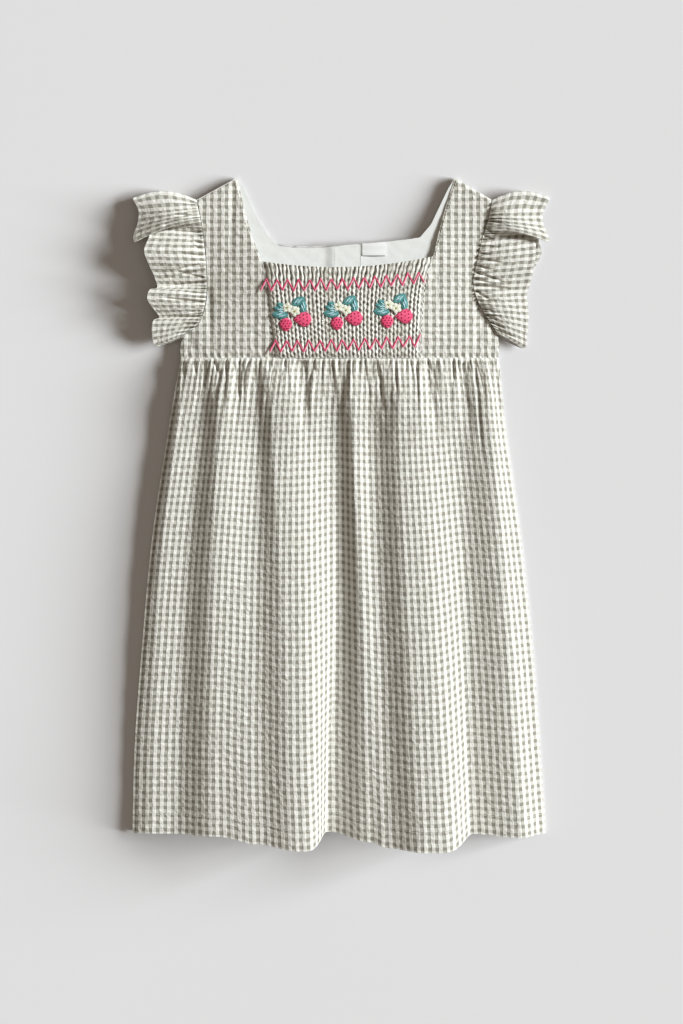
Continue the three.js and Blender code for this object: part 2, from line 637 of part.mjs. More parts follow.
add('front_skirt', frontSkirt(), GINGHAM);
add('back_skirt', backSkirt(), GINGHAM_BACK);
add('front_bodice_left', frontPanel(leftArmhole, leftNeckEdge), GINGHAM);
add('front_bodice_right', frontPanel(rightArmhole, rightNeckEdge), GINGHAM);
add('smocked_front', smockedFront(), SMOCKING);
add('back_bodice_left', backBodiceLeft(), GINGHAM_BACK);
add('back_bodice_right', backBodiceRight(), GINGHAM_BACK);
add('back_lining_left', backLiningLeft(), WHITE_LINING);
add('back_lining_right', backLiningRight(), WHITE_LINING);
add('back_label', backLabel(), LABEL_TAPE);
add('ruffle_left', ruffle(LEFT_RIBS, LEFT_FOLD, LEFT_BACK_RIBS, leftArmhole), GINGHAM);
add('ruffle_right', ruffle(RIGHT_RIBS, RIGHT_FOLD, RIGHT_BACK_RIBS, rightArmhole), GINGHAM);

export default dress;
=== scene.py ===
"""A small child's gingham dress with a smocked front and fluttering armhole ruffles, laid flat on its back.

Each piece of cloth is a fine grid on the form of its solid. Its UV map is the cloth's own measure in metres,
so the check follows every fold. The sewing and the embroidery are small stitches laid on the cloth. Lengths
are in millimetres until a mesh is made. Where a sine has bare factors, they only keep its waves out of step,
so that no two gathers, pleats or stitches are alike.
"""
from collections import namedtuple

import bpy
import numpy as np
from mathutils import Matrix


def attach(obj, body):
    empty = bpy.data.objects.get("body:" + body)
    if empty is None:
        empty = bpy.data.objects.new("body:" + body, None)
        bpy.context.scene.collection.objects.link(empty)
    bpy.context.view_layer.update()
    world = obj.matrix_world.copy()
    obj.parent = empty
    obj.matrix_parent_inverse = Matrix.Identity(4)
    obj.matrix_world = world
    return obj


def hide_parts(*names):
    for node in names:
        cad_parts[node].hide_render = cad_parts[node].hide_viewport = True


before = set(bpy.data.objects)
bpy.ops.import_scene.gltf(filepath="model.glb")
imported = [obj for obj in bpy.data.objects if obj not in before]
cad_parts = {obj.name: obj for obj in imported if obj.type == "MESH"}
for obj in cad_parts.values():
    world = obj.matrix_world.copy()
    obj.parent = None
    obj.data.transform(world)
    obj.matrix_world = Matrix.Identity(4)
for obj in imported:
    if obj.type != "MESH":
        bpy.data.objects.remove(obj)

bl_info = {
    "name": "Gingham Dress",
    "version": (1, 0, 0),
    "blender": (4, 5, 0),
    "location": "3D View > Sidebar > Dress",
    "description": "Makes a child's smocked gingham dress, laid flat, on its packed solids",
    "category": "Object",
}

MM = 0.001
BODY = "root"
CLOTH_MAP = "cloth"

# Thickness, gaps and levels of the solids
CLOTH = 1.2
SEAM_GAP = 0.3
RUFFLE_GAP = 0.5
BACK_SKIRT_LEVEL = 0.8
BACK_LEVEL = 0.85
LINING_TOP = 2.5
LABEL_TOP = 3.8
BODICE_UNDER = 2.8
SKIRT_UNDER = 1.5
LAP_LIFT = 1.5

# Low crown of the front of the bodice, and how far it reaches to each side at the chest and at the waist
CROWN = 9.5
CROWN_POWER = 2.2
CROWN_RUN = 86
SHOULDER_Y = 300
CHEST_REACH = 119
WAIST_REACH = 143
REACH_FROM_Y = 150
REACH_RUN = 40

# Heights of the low waves that each cloth keeps, then the rows and columns of each grid
SKIRT_RIPPLE = 0.32
BACK_SKIRT_RIPPLE = 0.12
PANEL_RIPPLE = 0.25
BACK_RIPPLE = 0.1
LINING_RIPPLE = 0.14
RUFFLE_RIPPLE = 0.18
BACK_SKIRT_GRID = (150, 130)
PANEL_GRID = (118, 52)
BACK_GRID = (96, 90)
LABEL_GRID = (24, 40)

# Side-front panels with their straps, a row of the outer (armhole) and inner (neck) edge, waist upwards
PanelRow = namedtuple("PanelRow", "at out_x out_y in_x in_y")
LEFT_PANEL = [
    PanelRow("waist", -142.9, 138.8, -59.8, 138.8),
    PanelRow("underarm", -141.6, 155.4, -62.0, 154.0),
    PanelRow("low armhole", -126.5, 170.5, -63.6, 168.5),
    PanelRow("mid armhole", -120.3, 189.3, -65.6, 186.5),
    PanelRow("chest", -119.2, 206.0, -67.6, 206.0),
    PanelRow("neck corner", -120.0, 224.0, -70.5, 225.0),
    PanelRow("low strap", -121.8, 243.0, -77.2, 242.0),
    PanelRow("high strap", -124.6, 261.6, -84.6, 266.0),
    PanelRow("shoulder", -128.6, 280.4, -92.9, 300.0),
]
RIGHT_PANEL = [
    PanelRow("waist", 140.2, 138.8, 71.4, 138.8),
    PanelRow("underarm", 140.0, 158.0, 71.6, 156.0),
    PanelRow("low armhole", 126.4, 180.0, 72.4, 172.0),
    PanelRow("mid armhole", 119.2, 196.5, 73.6, 190.0),
    PanelRow("chest", 117.6, 210.0, 76.2, 209.0),
    PanelRow("neck corner", 121.2, 227.0, 82.1, 229.5),
    PanelRow("low strap", 125.6, 246.0, 87.4, 252.0),
    PanelRow("high strap", 130.6, 262.5, 93.6, 274.5),
    PanelRow("shoulder", 134.5, 280.4, 101.8, 300.0),
]
# Share of each inner edge that lies below the neck corner
CORNER_SHARE = 10 / 16
# Puckers above the waist seam, and how the panels roll down at the shoulder and along the neck
PUCKER_RISE = 1.9
PUCKER_PITCH = 5.2
PUCKER_LEAN = 0.4
PUCKER_RUN = 12
SHOULDER_ROLL = 2.2
NECK_ROLL = 0.9
ROLL_RUN = 2.6

# Smocked insert: its pleats are deepest in the heading above the upper zigzag, and pinched at each zigzag
SMOCK_PLEATS = 40
SMOCK_ROWS = 104
SMOCK_SAG = 7.5
SAG_POWER = 3
PLEAT_RISE = 2.4
PLEAT_ROUND = 0.55
PLEAT_COLUMNS = 8
PLEAT_FOOT = 3.5
FOOT_SHARE = 0.3
SIDE_TURNS = 1.5
HEADING_DEEP = 2.5
HEADING_MEAN = 0.72
HEADING_SPREAD = 0.5
HEADING_SWAY = 0.55
ZONE_EDGE = 3
LOW_SHALLOWER = 0.2
HONEYCOMB = 4.9
HONEYCOMB_DEEP = 1.45
HONEYCOMB_SPREAD = 0.45
HONEYCOMB_DRIFT = 0.9
FINE_DRIFT = 0.8
PLEAT_BREAKS = 0.4
PLEAT_BREAK_PITCH = 4.2
PINCH_DEEP = 1.15
PINCH_WIDTH = 4.5
PLEAT_SWAY = 0.5
CALM_FOOT = 0.03
CALM_TOP = 0.02
TAKE_UP_SPREAD = 0.13
PLEAT_SLIP = 0.9
# Each zigzag row: its ends, how far its middle bends up from the straight line, and its number of corners
ZigzagRow = namedtuple("ZigzagRow", "at left_x left_y right_x right_y bend corners")
ZIGZAGS = [
    ZigzagRow("lower", -63.4, 149.6, 70.5, 154.6, -1.7, 28),
    ZigzagRow("upper", -71.6, 204.2, 74.0, 211.0, -3.0, 31),
]
ZIGZAG_RISE = 4.8
ZIGZAG_STITCHES = 3
ZIGZAG_OVERLAP = 0.06
ZIGZAG_LIFT = -0.1
ZIGZAG_BEND = 0.1
ZIGZAG_UNEVEN_X = 0.35
ZIGZAG_UNEVEN_Y = 0.4
# A pale pink strand laid just below each zigzag stitch is a painted highlight on the rose thread; this is how
# far it is set off
ZIGZAG_PAINTED_HIGHLIGHT_OFFSET = (0.15, -0.95, -0.1)

# Skirt
WAIST_Y = 138.8
HEM_Y = -284.8
SKIRT_LENGTH = WAIST_Y - HEM_Y
SkirtSide = namedtuple("SkirtSide", "drop left right")
SKIRT_SIDES = [
    SkirtSide(0, -142.9, 140.2),
    SkirtSide(24, -147.3, 142.9),
    SkirtSide(66, -154.5, 147.3),
    SkirtSide(162, -168.8, 160.7),
    SkirtSide(258, -177.7, 171.0),
    SkirtSide(344, -184.0, 177.4),
    SkirtSide(SKIRT_LENGTH, -186.2, 182.8),
]
# Each fold line, left to right: its x and its rise off the back at four depths, how late the cloth turns
# towards the next line, how far the hem hangs below its level there, between which shares of the way to the
# next line the cloth turns, at the waist and at the hem, and how sharp its upper edge is at the waist and at
# the hem, or its lower edge if that is less than 0
FOLD_DEPTHS = [0, 0.17, 0.5, 1]
Fold = namedtuple("Fold", "line x rise late drop waist_turn hem_turn sharp",
                  defaults=[(0, 1), (0, 1), (0, 0)])
FOLDS = [
    Fold("left flank", [-134.8, -147.3, -161.6, -168.8], [0, 3.8, 4.2, 4.2], 1, 0),
    Fold("valley 1", [-119.6, -128.5, -142.5, -151], [0, 2.6, 4, 4.4], 1, 0, (0, 0.85), (0, 0.95), (0.5, 0)),
    Fold("crest 1", [-106.3, -107.5, -111.5, -110.0], [0, 11, 15, 16.5], 1, 1.8),
    Fold("valley 2", [-75.9, -75.9, -76.5, -75.0], [0, 5.5, 13, 20.5], 1, 8, (0, 0.75), (0, 1), (0.5, 0)),
    Fold("crest 2", [-58.0, -57.1, -48.3, -39.0], [0, 12.2, 20, 28.6], 2.7, 14),
    Fold("valley 3", [-5.4, -4.5, -3.0, -13.0], [0, 2, 2.4, 4], 1, -1.5, (0, 0.95), (0.06, 0.97), (0.6, 0)),
    Fold("crest 3", [9.5, 10.5, 18.0, 27.5], [0, 9, 12.4, 15], 1, 7),
    Fold("valley 4", [25.0, 27.5, 32.0, 39.5], [0, 4.6, 10, 18], 1, 11.5, (0, 0.9), (0, 0.95), (0.4, -0.1)),
    Fold("crest 4", [52.5, 54.0, 61.5, 77.0], [0, 12.5, 19.5, 28.5], 2.6, 15.5),
    Fold("valley 5", [108.0, 108.0, 111.6, 117.0], [0, 3, 5, 8], 1, 0),
    Fold("crest 5", [128.6, 134.0, 143.8, 159.8], [0, 7.4, 10, 12.5], 1, 3.5),
]
RISE_RUN = 0.17
CROWN_FADE = 0.22
# Gathers below the waist seam, whose places wander by shares of their pitch
GATHERS = 46
GATHER_RISE = 3.3
GATHER_REACH = 0.11
GATHER_FADE = 1.2
GATHER_ROUND = 0.55
GATHER_SWELL = 0.012
GATHER_WANDER = 0.3
GATHER_FINE_WANDER = 0.22
GATHER_HEIGHT_SPREAD = 0.32
GATHER_REACH_SPREAD = 0.5
BACK_GATHER_RISE = 0.25
BACK_GATHER_REACH = 0.12
# How the cloth tucks in at the waist seam and rolls down at the sides, with shares of the skirt where each
# fades
SEAM_TUCK = 0.5
SEAM_ROLL = 1.6
SEAM_DEEP = 0.8
SIDE_ROLL = 1.3
SIDE_RUN = 4.0
CREASE_FADE = 0.01
SIDE_FADE = 0.05
RIPPLE_FADE = 12
# Soft troughs of the skirt: where each starts and ends, its half width and its depth
Crease = namedtuple("Crease", "from_x from_y to_x to_y wide deep")
SKIRT_CREASES = [
    Crease(-139.7, 134, -140.5, 116, 1.2, 1.4),
    Crease(-130.5, 136, -128.4, 118, 1.3, 1.8),
    Crease(-121, 137, -123.5, 108, 1.5, 2.2),
    Crease(-113.5, 137, -107.5, 122, 1.3, 2.2),
    Crease(-108, 126, -114, 92, 1.7, 1.8),
    Crease(-102.3, 137, -102, 122, 1.3, 2.4),
    Crease(-101, 122, -106, 96, 1.4, 1.2),
    Crease(-94.8, 134, -94, 120, 1.2, 1.4),
    Crease(-90.3, 137, -91, 92, 1.1, 2.2),
    Crease(-86.7, 130, -86, 96, 1.1, 1.0),
    Crease(-76.2, 132, -77, 110, 1.4, 1.2),
    Crease(-64.4, 137, -64, 124, 1.3, 1.8),
    Crease(-58, 136, -63, 122, 1.2, 1.4),
    Crease(-50, 136, -49, 124, 1.2, 1.4),
    Crease(-44, 137, -42, 116, 1.3, 1.6),
    Crease(-144.4, 112, -157, 40, 0.9, 0.9),
    Crease(-93, 125, -93, 66, 4.0, 1.6),
    Crease(-36, 134, -29, 50, 5.5, 3.2),
    Crease(108, 130, 116, 60, 5.5, 2.2),
    Crease(-24, 137, -22.5, 120, 1.3, 1.5),
    Crease(-11, 137, -10, 112, 1.4, 1.5),
    Crease(-2, 137, -3, 122, 1.2, 1.6),
    Crease(5, 136, 6.5, 118, 1.3, 1.4),
    Crease(17, 137, 16, 124, 1.2, 1.6),
    Crease(28, 136, 27, 112, 1.6, 1.6),
    Crease(33, 130, 40, 78, 1.8, 1.6),
    Crease(48.5, 138, 50, 100, 1.4, 2.4),
    Crease(58, 137, 57, 122, 1.2, 1.4),
    Crease(66, 137, 67, 118, 1.3, 1.4),
    Crease(76.8, 139, 82, 121, 1.3, 2.0),
    Crease(79, 128, 87, 55, 5.0, 3.4),
    Crease(99.6, 139, 100.2, 112, 1.2, 2.0),
    Crease(108.5, 134, 109, 123, 1.1, 1.4),
    Crease(112.5, 135, 113, 122, 1.1, 1.2),
    Crease(118.8, 138, 121.5, 104, 1.5, 1.8),
    Crease(121.5, 106, 127, 30, 1.6, 1.2),
    Crease(126.8, 124, 130.4, 88, 1.1, 1.1),
    Crease(133, 124, 137.5, 100, 1.1, 1.0),
]
# Soft troughs of the side panels
PANEL_CREASES = [
    Crease(-96, 292, -101, 205, 3.2, 1.0),
    Crease(-119, 200, -116, 142, 3.6, 1.6),
    Crease(-134, 160, -130, 138, 2.2, 1.2),
    Crease(-78, 178, -80, 140, 3.0, 0.7),
    Crease(86, 240, 84, 168, 2.6, 0.8),
    Crease(126, 172, 118, 142, 3.0, 1.2),
]
# Folds that run out from the armhole seam across the ruffles
RUFFLE_CREASES = [
    Crease(-157, 257, -142, 264.5, 1.1, 2.6),
    Crease(-146, 266, -128, 266, 1.0, 2.2),
    Crease(-128, 251, -158, 252, 0.9, 1.4),
    Crease(-125, 247, -140, 244, 1.0, 2.2),
    Crease(-124, 241, -136, 245, 0.9, 2.0),
    Crease(-124, 236, -134, 240, 0.9, 2.0),
    Crease(-123, 230, -150, 233, 0.9, 1.8),
    Crease(-123, 223, -160, 214, 1.1, 2.2),
    Crease(-124, 217, -160, 209, 1.2, 2.6),
    Crease(-124, 211, -150, 217, 1.1, 2.2),
    Crease(-124, 207, -162, 202, 1.1, 2.6),
    Crease(-123, 189, -168, 193, 1.1, 2.6),
    Crease(-124, 196, -145, 198, 0.9, 1.6),
    Crease(-127, 181, -139, 179, 0.9, 1.8),
    Crease(-126, 175.5, -164, 176, 1.1, 2.4),
    Crease(-130, 170, -146, 169, 1.0, 2.4),
    Crease(-132, 166, -150, 165, 1.0, 2.2),
    Crease(-136, 162, -158, 160, 0.9, 1.6),
    Crease(130, 262, 146, 258, 1.2, 2.6),
    Crease(129, 266, 150, 266, 0.9, 1.4),
    Crease(128, 255, 140, 248, 1.0, 2.2),
    Crease(127, 249, 138, 243, 0.9, 2.4),
    Crease(125, 243, 136, 246, 0.9, 2.2),
    Crease(122, 239, 150, 237, 0.9, 1.8),
    Crease(121, 233, 136, 230, 0.9, 2.2),
    Crease(120, 228, 152, 222, 1.0, 2.0),
    Crease(119.5, 222, 138, 216, 0.9, 2.2),
    Crease(119, 216, 150, 205, 1.0, 2.4),
    Crease(118.5, 210, 136, 205, 0.9, 2.2),
    Crease(119, 204, 162, 199.5, 1.2, 2.4),
    Crease(120, 199, 136, 188, 1.0, 2.2),
    Crease(122, 194, 138, 198, 0.9, 2.0),
    Crease(124, 189, 146, 191, 0.9, 1.8),
    Crease(126, 183, 138, 180, 1.0, 2.2),
    Crease(130, 177, 142, 172, 1.0, 2.4),
    Crease(134, 171, 148, 164, 1.0, 2.2),
    Crease(140, 164, 160, 155, 0.9, 1.8),
]
CREASE_EARLY = 0.1
CREASE_ENTER = 8
CREASE_LEAVE = 1.6

# Centre-back placket: the left half laps over the right one
PLACKET_FROM = -6.3
PLACKET_TO = 17.0
LAP_RUN = 9
NECK_AT_LAP = 239.0
NECK_AT_EDGE = 241.0
BACK_NECK_LEFT = [
    (-30.0, 237.5), (-53.6, 239.4), (-62.5, 244.5), (-71.4, 258.5), (-79.5, 273.2), (-86.4, 289.5),
]
BACK_NECK_RIGHT = [(46.4, 243.6), (70.0, 246.4), (80.4, 258.5), (89.7, 278.1), (95.6, 290.5)]
LABEL_LEFT, LABEL_RIGHT = 19.0, 40.2
LABEL_BOTTOM, LABEL_HIGH = 230.6, 241.6
LABEL_UNDER = 0.5
LABEL_BOW = 0.35
LABEL_WAVE = 0.06

# Ruffle ribs from the armhole seam out to the free edge, underarm to shoulder: how high each lies at its tip,
# how far it swells up on the way, and how far it bows towards the shoulder
Rib = namedtuple("Rib", "seam_y tip_x tip_y tip_z swell bow", defaults=[0, 0, 0])
LEFT_RIBS = [
    Rib(156.6, -147.0, 155.2, 2.6, 0.8),
    Rib(158.6, -155.5, 151.6, 3.4, 1.6),
    Rib(161.0, -166.1, 150.0, 4.6, 1.6),
    Rib(166.5, -168.5, 163.0, 8.0, 1.6),
    Rib(172.5, -167.0, 172.5, 9.6, 1.4),
    Rib(178.0, -162.0, 175.5, 7.0, 0.6),
    Rib(184.0, -168.0, 184.0, 10.6, 2.6),
    Rib(190.5, -172.3, 191.5, 12.5, 3.2),
    Rib(197.0, -170.3, 199.7, 12.0, 3.2),
    Rib(202.5, -163.9, 202.0, 6.4, 0.0),
    Rib(212.0, -166.5, 212.0, 9.4, 1.4),
    Rib(223.0, -171.9, 224.0, 12.0, 4.8),
    Rib(234.0, -175.2, 235.0, 11.0, 4.6),
    Rib(245.0, -171.4, 246.0, 8.0, 2.6),
    Rib(252.0, -169.4, 254.5, 4.4, 0.4),
    Rib(257.5, -171.5, 255.5, 4.2, 1.6),
    Rib(261.0, -183.0, 242.6, 4.4, 5.0, 3.0),
    Rib(264.0, -185.0, 249.0, 5.2, 8.6, 2.0),
    Rib(269.5, -181.0, 260.5, 6.0, 9.4),
    Rib(274.5, -181.0, 271.5, 5.2, 6.8),
    Rib(278.4, -185.5, 280.4, 3.8, 1.6, 6.0),
]
RIGHT_RIBS = [
    Rib(160.0, 146.0, 155.4, 2.0, 0.8),
    Rib(161.8, 154.0, 150.6, 2.2, 1.6),
    Rib(164.5, 164.7, 148.2, 2.4, 2.6),
    Rib(170.5, 166.0, 160.0, 2.6, 4.0),
    Rib(177.5, 167.2, 172.0, 3.0, 5.0),
    Rib(185.0, 167.0, 184.0, 3.4, 5.4),
    Rib(192.0, 165.8, 194.5, 3.2, 4.2),
    Rib(199.0, 168.0, 202.5, 2.6, 2.2),
    Rib(209.0, 170.5, 213.0, 3.0, 2.6),
    Rib(221.0, 173.2, 226.0, 4.0, 3.8),
    Rib(233.0, 173.8, 239.0, 4.2, 4.0),
    Rib(243.0, 173.6, 248.0, 3.2, 1.2),
    Rib(249.0, 175.5, 250.0, 3.8, 1.4),
    Rib(253.0, 184.4, 242.4, 6.4, 6.4, 3.0),
    Rib(256.5, 185.0, 247.5, 6.0, 7.6, 2.0),
    Rib(262.0, 180.6, 258.5, 4.6, 8.0),
    Rib(268.5, 180.0, 270.0, 3.8, 6.4),
    Rib(278.4, 185.6, 280.6, 4.4, 1.2, 6.0),
]
# Ribs of the back halves, which lie flat on the floor, shoulder to underarm
LEFT_BACK_RIBS = [
    Rib(262.0, -176.0, 259.0),
    Rib(240.0, -170.0, 238.0),
    Rib(216.0, -163.0, 213.0),
    Rib(192.0, -162.0, 189.0),
    Rib(172.0, -162.0, 166.0),
    Rib(158.5, -151.0, 156.0),
]
RIGHT_BACK_RIBS = [
    Rib(262.0, 176.0, 259.0),
    Rib(244.0, 177.0, 243.0),
    Rib(232.0, 178.6, 231.0),
    Rib(206.0, 165.0, 204.0),
    Rib(180.0, 162.0, 170.0),
    Rib(162.5, 151.0, 155.0),
]
RUFFLE_SEAM_Z = BODICE_UNDER + CLOTH
RUFFLE_WIDTH = 47.0
RUFFLE_STEPS = 22
RUFFLE_COLUMNS = 40
SEAM_STEPS = 4000
RUFFLE_TURN_ROWS = 9
RUFFLE_BRIDGE_ROWS = 10
RUFFLE_BACK_ROWS = 44
RUFFLE_FULLNESS = 1.1
RUFFLE_LOWEST = 0.8
RUFFLE_LOWEST_RIPPLE = 0.5
RUFFLE_SWELL_NEAR = 0.75
GATHERS_PER_RIB = 2.3
RUFFLE_GATHER = 2.3
RUFFLE_GATHER_REACH = 0.45
RUFFLE_REACH_MEAN = 0.75
RUFFLE_REACH_SPREAD = 0.35
RUFFLE_GATHER_FADE = 1.2
RUFFLE_GATHER_ROUND = 0.7
RUFFLE_GATHER_WANDER = 0.25
RUFFLE_HEM = 4.0
RUFFLE_HEM_RISE = 0.3
RUFFLE_HEM_STEP = 60

# Strawberry sprigs: places on the insert, and the shapes of one sprig round its middle
SPRIGS = [(-43.8, 177.7), (1.8, 178.6), (46.4, 180.4)]
Patch = namedtuple("Patch", "x y turn length width blunt")
BERRIES = [Patch(-5.6, -3.6, -88, 11.4, 12.0, 0.85), Patch(1.6, -4.8, 2, 15.6, 14.4, 1.5)]
LEAFLETS = [
    Patch(-3.4, -1.0, 176, 14.0, 7.6, 1.0),
    Patch(-4.6, 1.4, 134, 11.8, 7.2, 1.0),
    Patch(-4.4, 0.6, 154, 12.6, 6.4, 1.0),
    Patch(0.0, 8.2, 30, 13.0, 7.6, 1.0),
    Patch(9.6, 13.2, 272, 13.6, 7.2, 1.0),
]
Blossom = namedtuple("Blossom", "x y radius turn")
BLOSSOMS = [Blossom(-3.9, 5.8, 4.5, 12), Blossom(2.9, 2.6, 4.6, 40)]
PETALS = 5
PETAL_BLUNT = 1.2
SATIN_PITCH = 0.72
SATIN_FULL = 0.52
SATIN_COVER = 1.5
SATIN_BEND = 0.8
# Satin stitches of each kind: their height, the dome that they make, and how high its edge lies on the pleats
Satin = namedtuple("Satin", "high dome base")
LEAF_SATIN = Satin(0.9, 0.4, 0.1)
BERRY_SATIN = Satin(1.2, 0.9, 0.1)
PETAL_SATIN = Satin(0.8, 0.3, 0.9)
# Seeds, in staggered rows up each berry, as shares of its length and of its half width
SEED_ROWS = (0.2, 0.4, 0.6, 0.8)
SEED_PLACES = ((-0.5, 0.05, 0.55), (-0.7, -0.22, 0.3, 0.74))
SEED_HALF = 0.65
SEED_LIFT = 1.6
# Pale strands on each leaf: where each starts and ends as shares of its length, and how far off its middle
Vein = namedtuple("Vein", "start end off")
VEINS = [Vein(0.15, 0.45, 0.1), Vein(0.42, 0.8, -0.3), Vein(0.3, 0.62, 1.0), Vein(0.34, 0.6, -1.3)]
VEIN_SLANT = 0.5
VEIN_LIFT = 0.95
# Knots in the heart of each blossom
KNOTS = [(-0.6, 0.3), (0.6, 0.4), (0.0, -0.6)]
KNOT_HALF = 0.6
KNOT_LIFT = 1.6

# Width and height of each kind of stitch
ZIGZAG_STITCH = (1.5, 1.2)
PAINTED_HIGHLIGHT_STITCH = (1.3, 0.8)
VEIN_STITCH = (0.95, 0.6)
SEED_STITCH = (1.0, 0.7)
KNOT_STITCH = (1.1, 0.9)
SEWING_STITCH = (0.5, 0.4)
# Running stitches: the length of each stitch and the gap between two
HEM_RUN = (2.4, 0.9)
NECK_RUN = (2.2, 0.9)
PLACKET_RUN = (2.0, 0.9)
HEM_STITCH_UP = 17.0
HEM_STITCH_LIFT = 0.05
HEM_STITCH_END = 0.004
HEM_STITCH_STEPS = 500
NECK_STITCH_STEPS = 120
NECK_STITCH_IN = 2.0
PLACKET_STITCH_IN = 1.0
PLACKET_STITCHES_FROM = 60


def linear(code):
    """The linear red, green and blue of an sRGB hex colour."""
    parts = [int(code[i:i + 2], 16) / 255 for i in (1, 3, 5)]
    return tuple(c / 12.92 if c <= 0.04045 else ((c + 0.055) / 1.055) ** 2.4 for c in parts)


def colour_property(name, description, code):
    return bpy.props.FloatVectorProperty(
        name=name, description=description, default=linear(code), subtype="COLOR", min=0, max=1)


class DressCloth(bpy.types.PropertyGroup):
    """Sizes of the cloth."""

    check: bpy.props.FloatProperty(
        name="Check", description="Side of one square of the gingham", default=0.0033, subtype="DISTANCE",
        unit="LENGTH")
    thickness: bpy.props.FloatProperty(
        name="Thickness", description="Thickness of the seersucker with its crinkle", default=0.0005,
        subtype="DISTANCE", unit="LENGTH")
    pucker: bpy.props.FloatProperty(
        name="Pucker", description="Height of the crinkle between the flat stripes", default=0.00042,
        subtype="DISTANCE", unit="LENGTH")
    lining_thickness: bpy.props.FloatProperty(
        name="Lining", description="Thickness of the back, its lining and the label", default=0.0004,
        subtype="DISTANCE", unit="LENGTH")


class DressColours(bpy.types.PropertyGroup):
    """Colours of the yarns, the lining and the embroidery."""

    cream: colour_property("Cream yarn", "The pale squares", "#F3F1EB")
    weft_tone: colour_property("Weft half tone", "Where taupe weft crosses cream warp", "#DFDBD2")
    warp_tone: colour_property("Warp half tone", "Where cream weft crosses taupe warp", "#C9C6BB")
    taupe: colour_property("Taupe yarn", "The dark squares", "#959187")
    lining: colour_property("Lining", "White cotton lawn", "#EDEDEA")
    tape: colour_property("Label", "Blank woven tape", "#F4F4F2")
    rose: colour_property("Zigzags", "Rose stranded cotton", "#DE3F6C")
    # The pale pink strand beside each zigzag stitch is a painted highlight on the rose thread
    blush: colour_property("Zigzag fringes", "Pale pink stranded cotton", "#F8AEC0")
    berry: colour_property("Berries", "Strawberry pink stranded cotton", "#FF5081")
    seed: colour_property("Seeds", "Dark crimson stranded cotton", "#B51A48")
    leaf: colour_property("Leaves", "Teal stranded cotton", "#46908E")
    vein: colour_property("Leaf veins", "Pale blue stranded cotton", "#BCE2E8")
    petal: colour_property("Blossoms", "Pale cream stranded cotton", "#F3F5E0")
    heart: colour_property("Blossom hearts", "Straw yellow stranded cotton", "#C6BD7C")
    sewing: colour_property("Sewing thread", "Cream sewing cotton", "#E6E4DB")


class DressStage(bpy.types.PropertyGroup):
    """The floor, the light and the camera."""

    floor: colour_property("Floor", "Pale matt floor", "#E3E1E2")
    camera_height: bpy.props.FloatProperty(
        name="Camera height", description="Height of the camera above the floor", default=3.6,
        subtype="DISTANCE", unit="LENGTH")
    sun: bpy.props.FloatProperty(
        name="Key light", description="Strength of the soft key light on the dress", default=5.1)
    low_sun: bpy.props.FloatProperty(
        name="Floor light", description="Strength of the low light that only the floor takes", default=14.1)
    sky: bpy.props.FloatProperty(
        name="Fill light", description="Strength of the light from all round", default=0.21)


def lerp(a, b, t):
    return a + (b - a) * t


def smooth(t):
    t = np.clip(t, 0, 1)
    return t * t * (3 - 2 * t)


def through(places, values, at):
    """A smooth curve through values at rising places, read at one place or many."""
    places = np.asarray(places, float)
    values = np.asarray(values, float)
    last = len(places) - 1
    before = np.maximum(np.arange(last + 1) - 1, 0)
    after = np.minimum(np.arange(last + 1) + 1, last)
    slope = (values[after] - values[before]) / (places[after] - places[before])
    k = np.clip(np.searchsorted(places, at) - 1, 0, last - 1)
    span = places[k + 1] - places[k]
    t = np.clip((at - places[k]) / span, 0, 1)
    enter = t * (1 - t) ** 2 * span * slope[k]
    leave = t * t * (t - 1) * span * slope[k + 1]
    return lerp(values[k], values[k + 1], smooth(t)) + enter + leave


def spline(points, share):
    """The Catmull-Rom curve through points, read at shares from 0 to 1."""
    points = np.asarray(points, float)
    last = len(points) - 1
    place = np.clip(np.asarray(share, float), 0, 1) * last
    k = np.minimum(place.astype(int), last - 1)
    t = (place - k)[..., None]
    p0, p1 = points[np.maximum(k - 1, 0)], points[k]
    p2, p3 = points[k + 1], points[np.minimum(k + 2, last)]
    v0, v1 = (p2 - p0) / 2, (p3 - p1) / 2
    return (2 * p1 - 2 * p2 + v0 + v1) * t ** 3 + (3 * p2 - 3 * p1 - 2 * v0 - v1) * t ** 2 + v0 * t + p1


def polyline(points, shares):
    """A line of straight stretches through points, read at shares of its length."""
    points = np.asarray(points, float)
    along = np.concatenate([[0], np.cumsum(np.linalg.norm(np.diff(points, axis=0), axis=1))])
    at = np.asarray(shares) * along[-1]
    return np.stack([np.interp(at, along, points[:, 0]), np.interp(at, along, points[:, 1])], axis=-1)


LEFT_ARMHOLE = [(row.out_x, row.out_y) for row in LEFT_PANEL]
LEFT_NECK = [(row.in_x, row.in_y) for row in LEFT_PANEL]
RIGHT_ARMHOLE = [(row.out_x, row.out_y) for row in RIGHT_PANEL]
RIGHT_NECK = [(row.in_x, row.in_y) for row in RIGHT_PANEL]


def bodice_under(x, y):
    """Height of the underside of the front of the bodice."""
    reach = lerp(WAIST_REACH, CHEST_REACH, smooth((y - REACH_FROM_Y) / REACH_RUN))
    across = np.maximum(0, 1 - np.abs(x / reach) ** CROWN_POWER)
    return BODICE_UNDER + CROWN * across * smooth((SHOULDER_Y - y) / CROWN_RUN)


def ripple(u, v, height):
    """Low uneven waves that the crinkled cloth keeps, from its own measure. Their lengths never come into
    step."""
    fine = np.sin(u / 2.9 + 1.7 * np.sin(v / 13.0)) * np.sin(v / 2.3 + 1.3 * np.sin(u / 7.1))
    broad = 0.7 * np.sin(u / 5.3 - v / 6.7 + 2.1 * np.sin(v / 31.0))
    return height * (fine + broad) / 1.7


# Materials

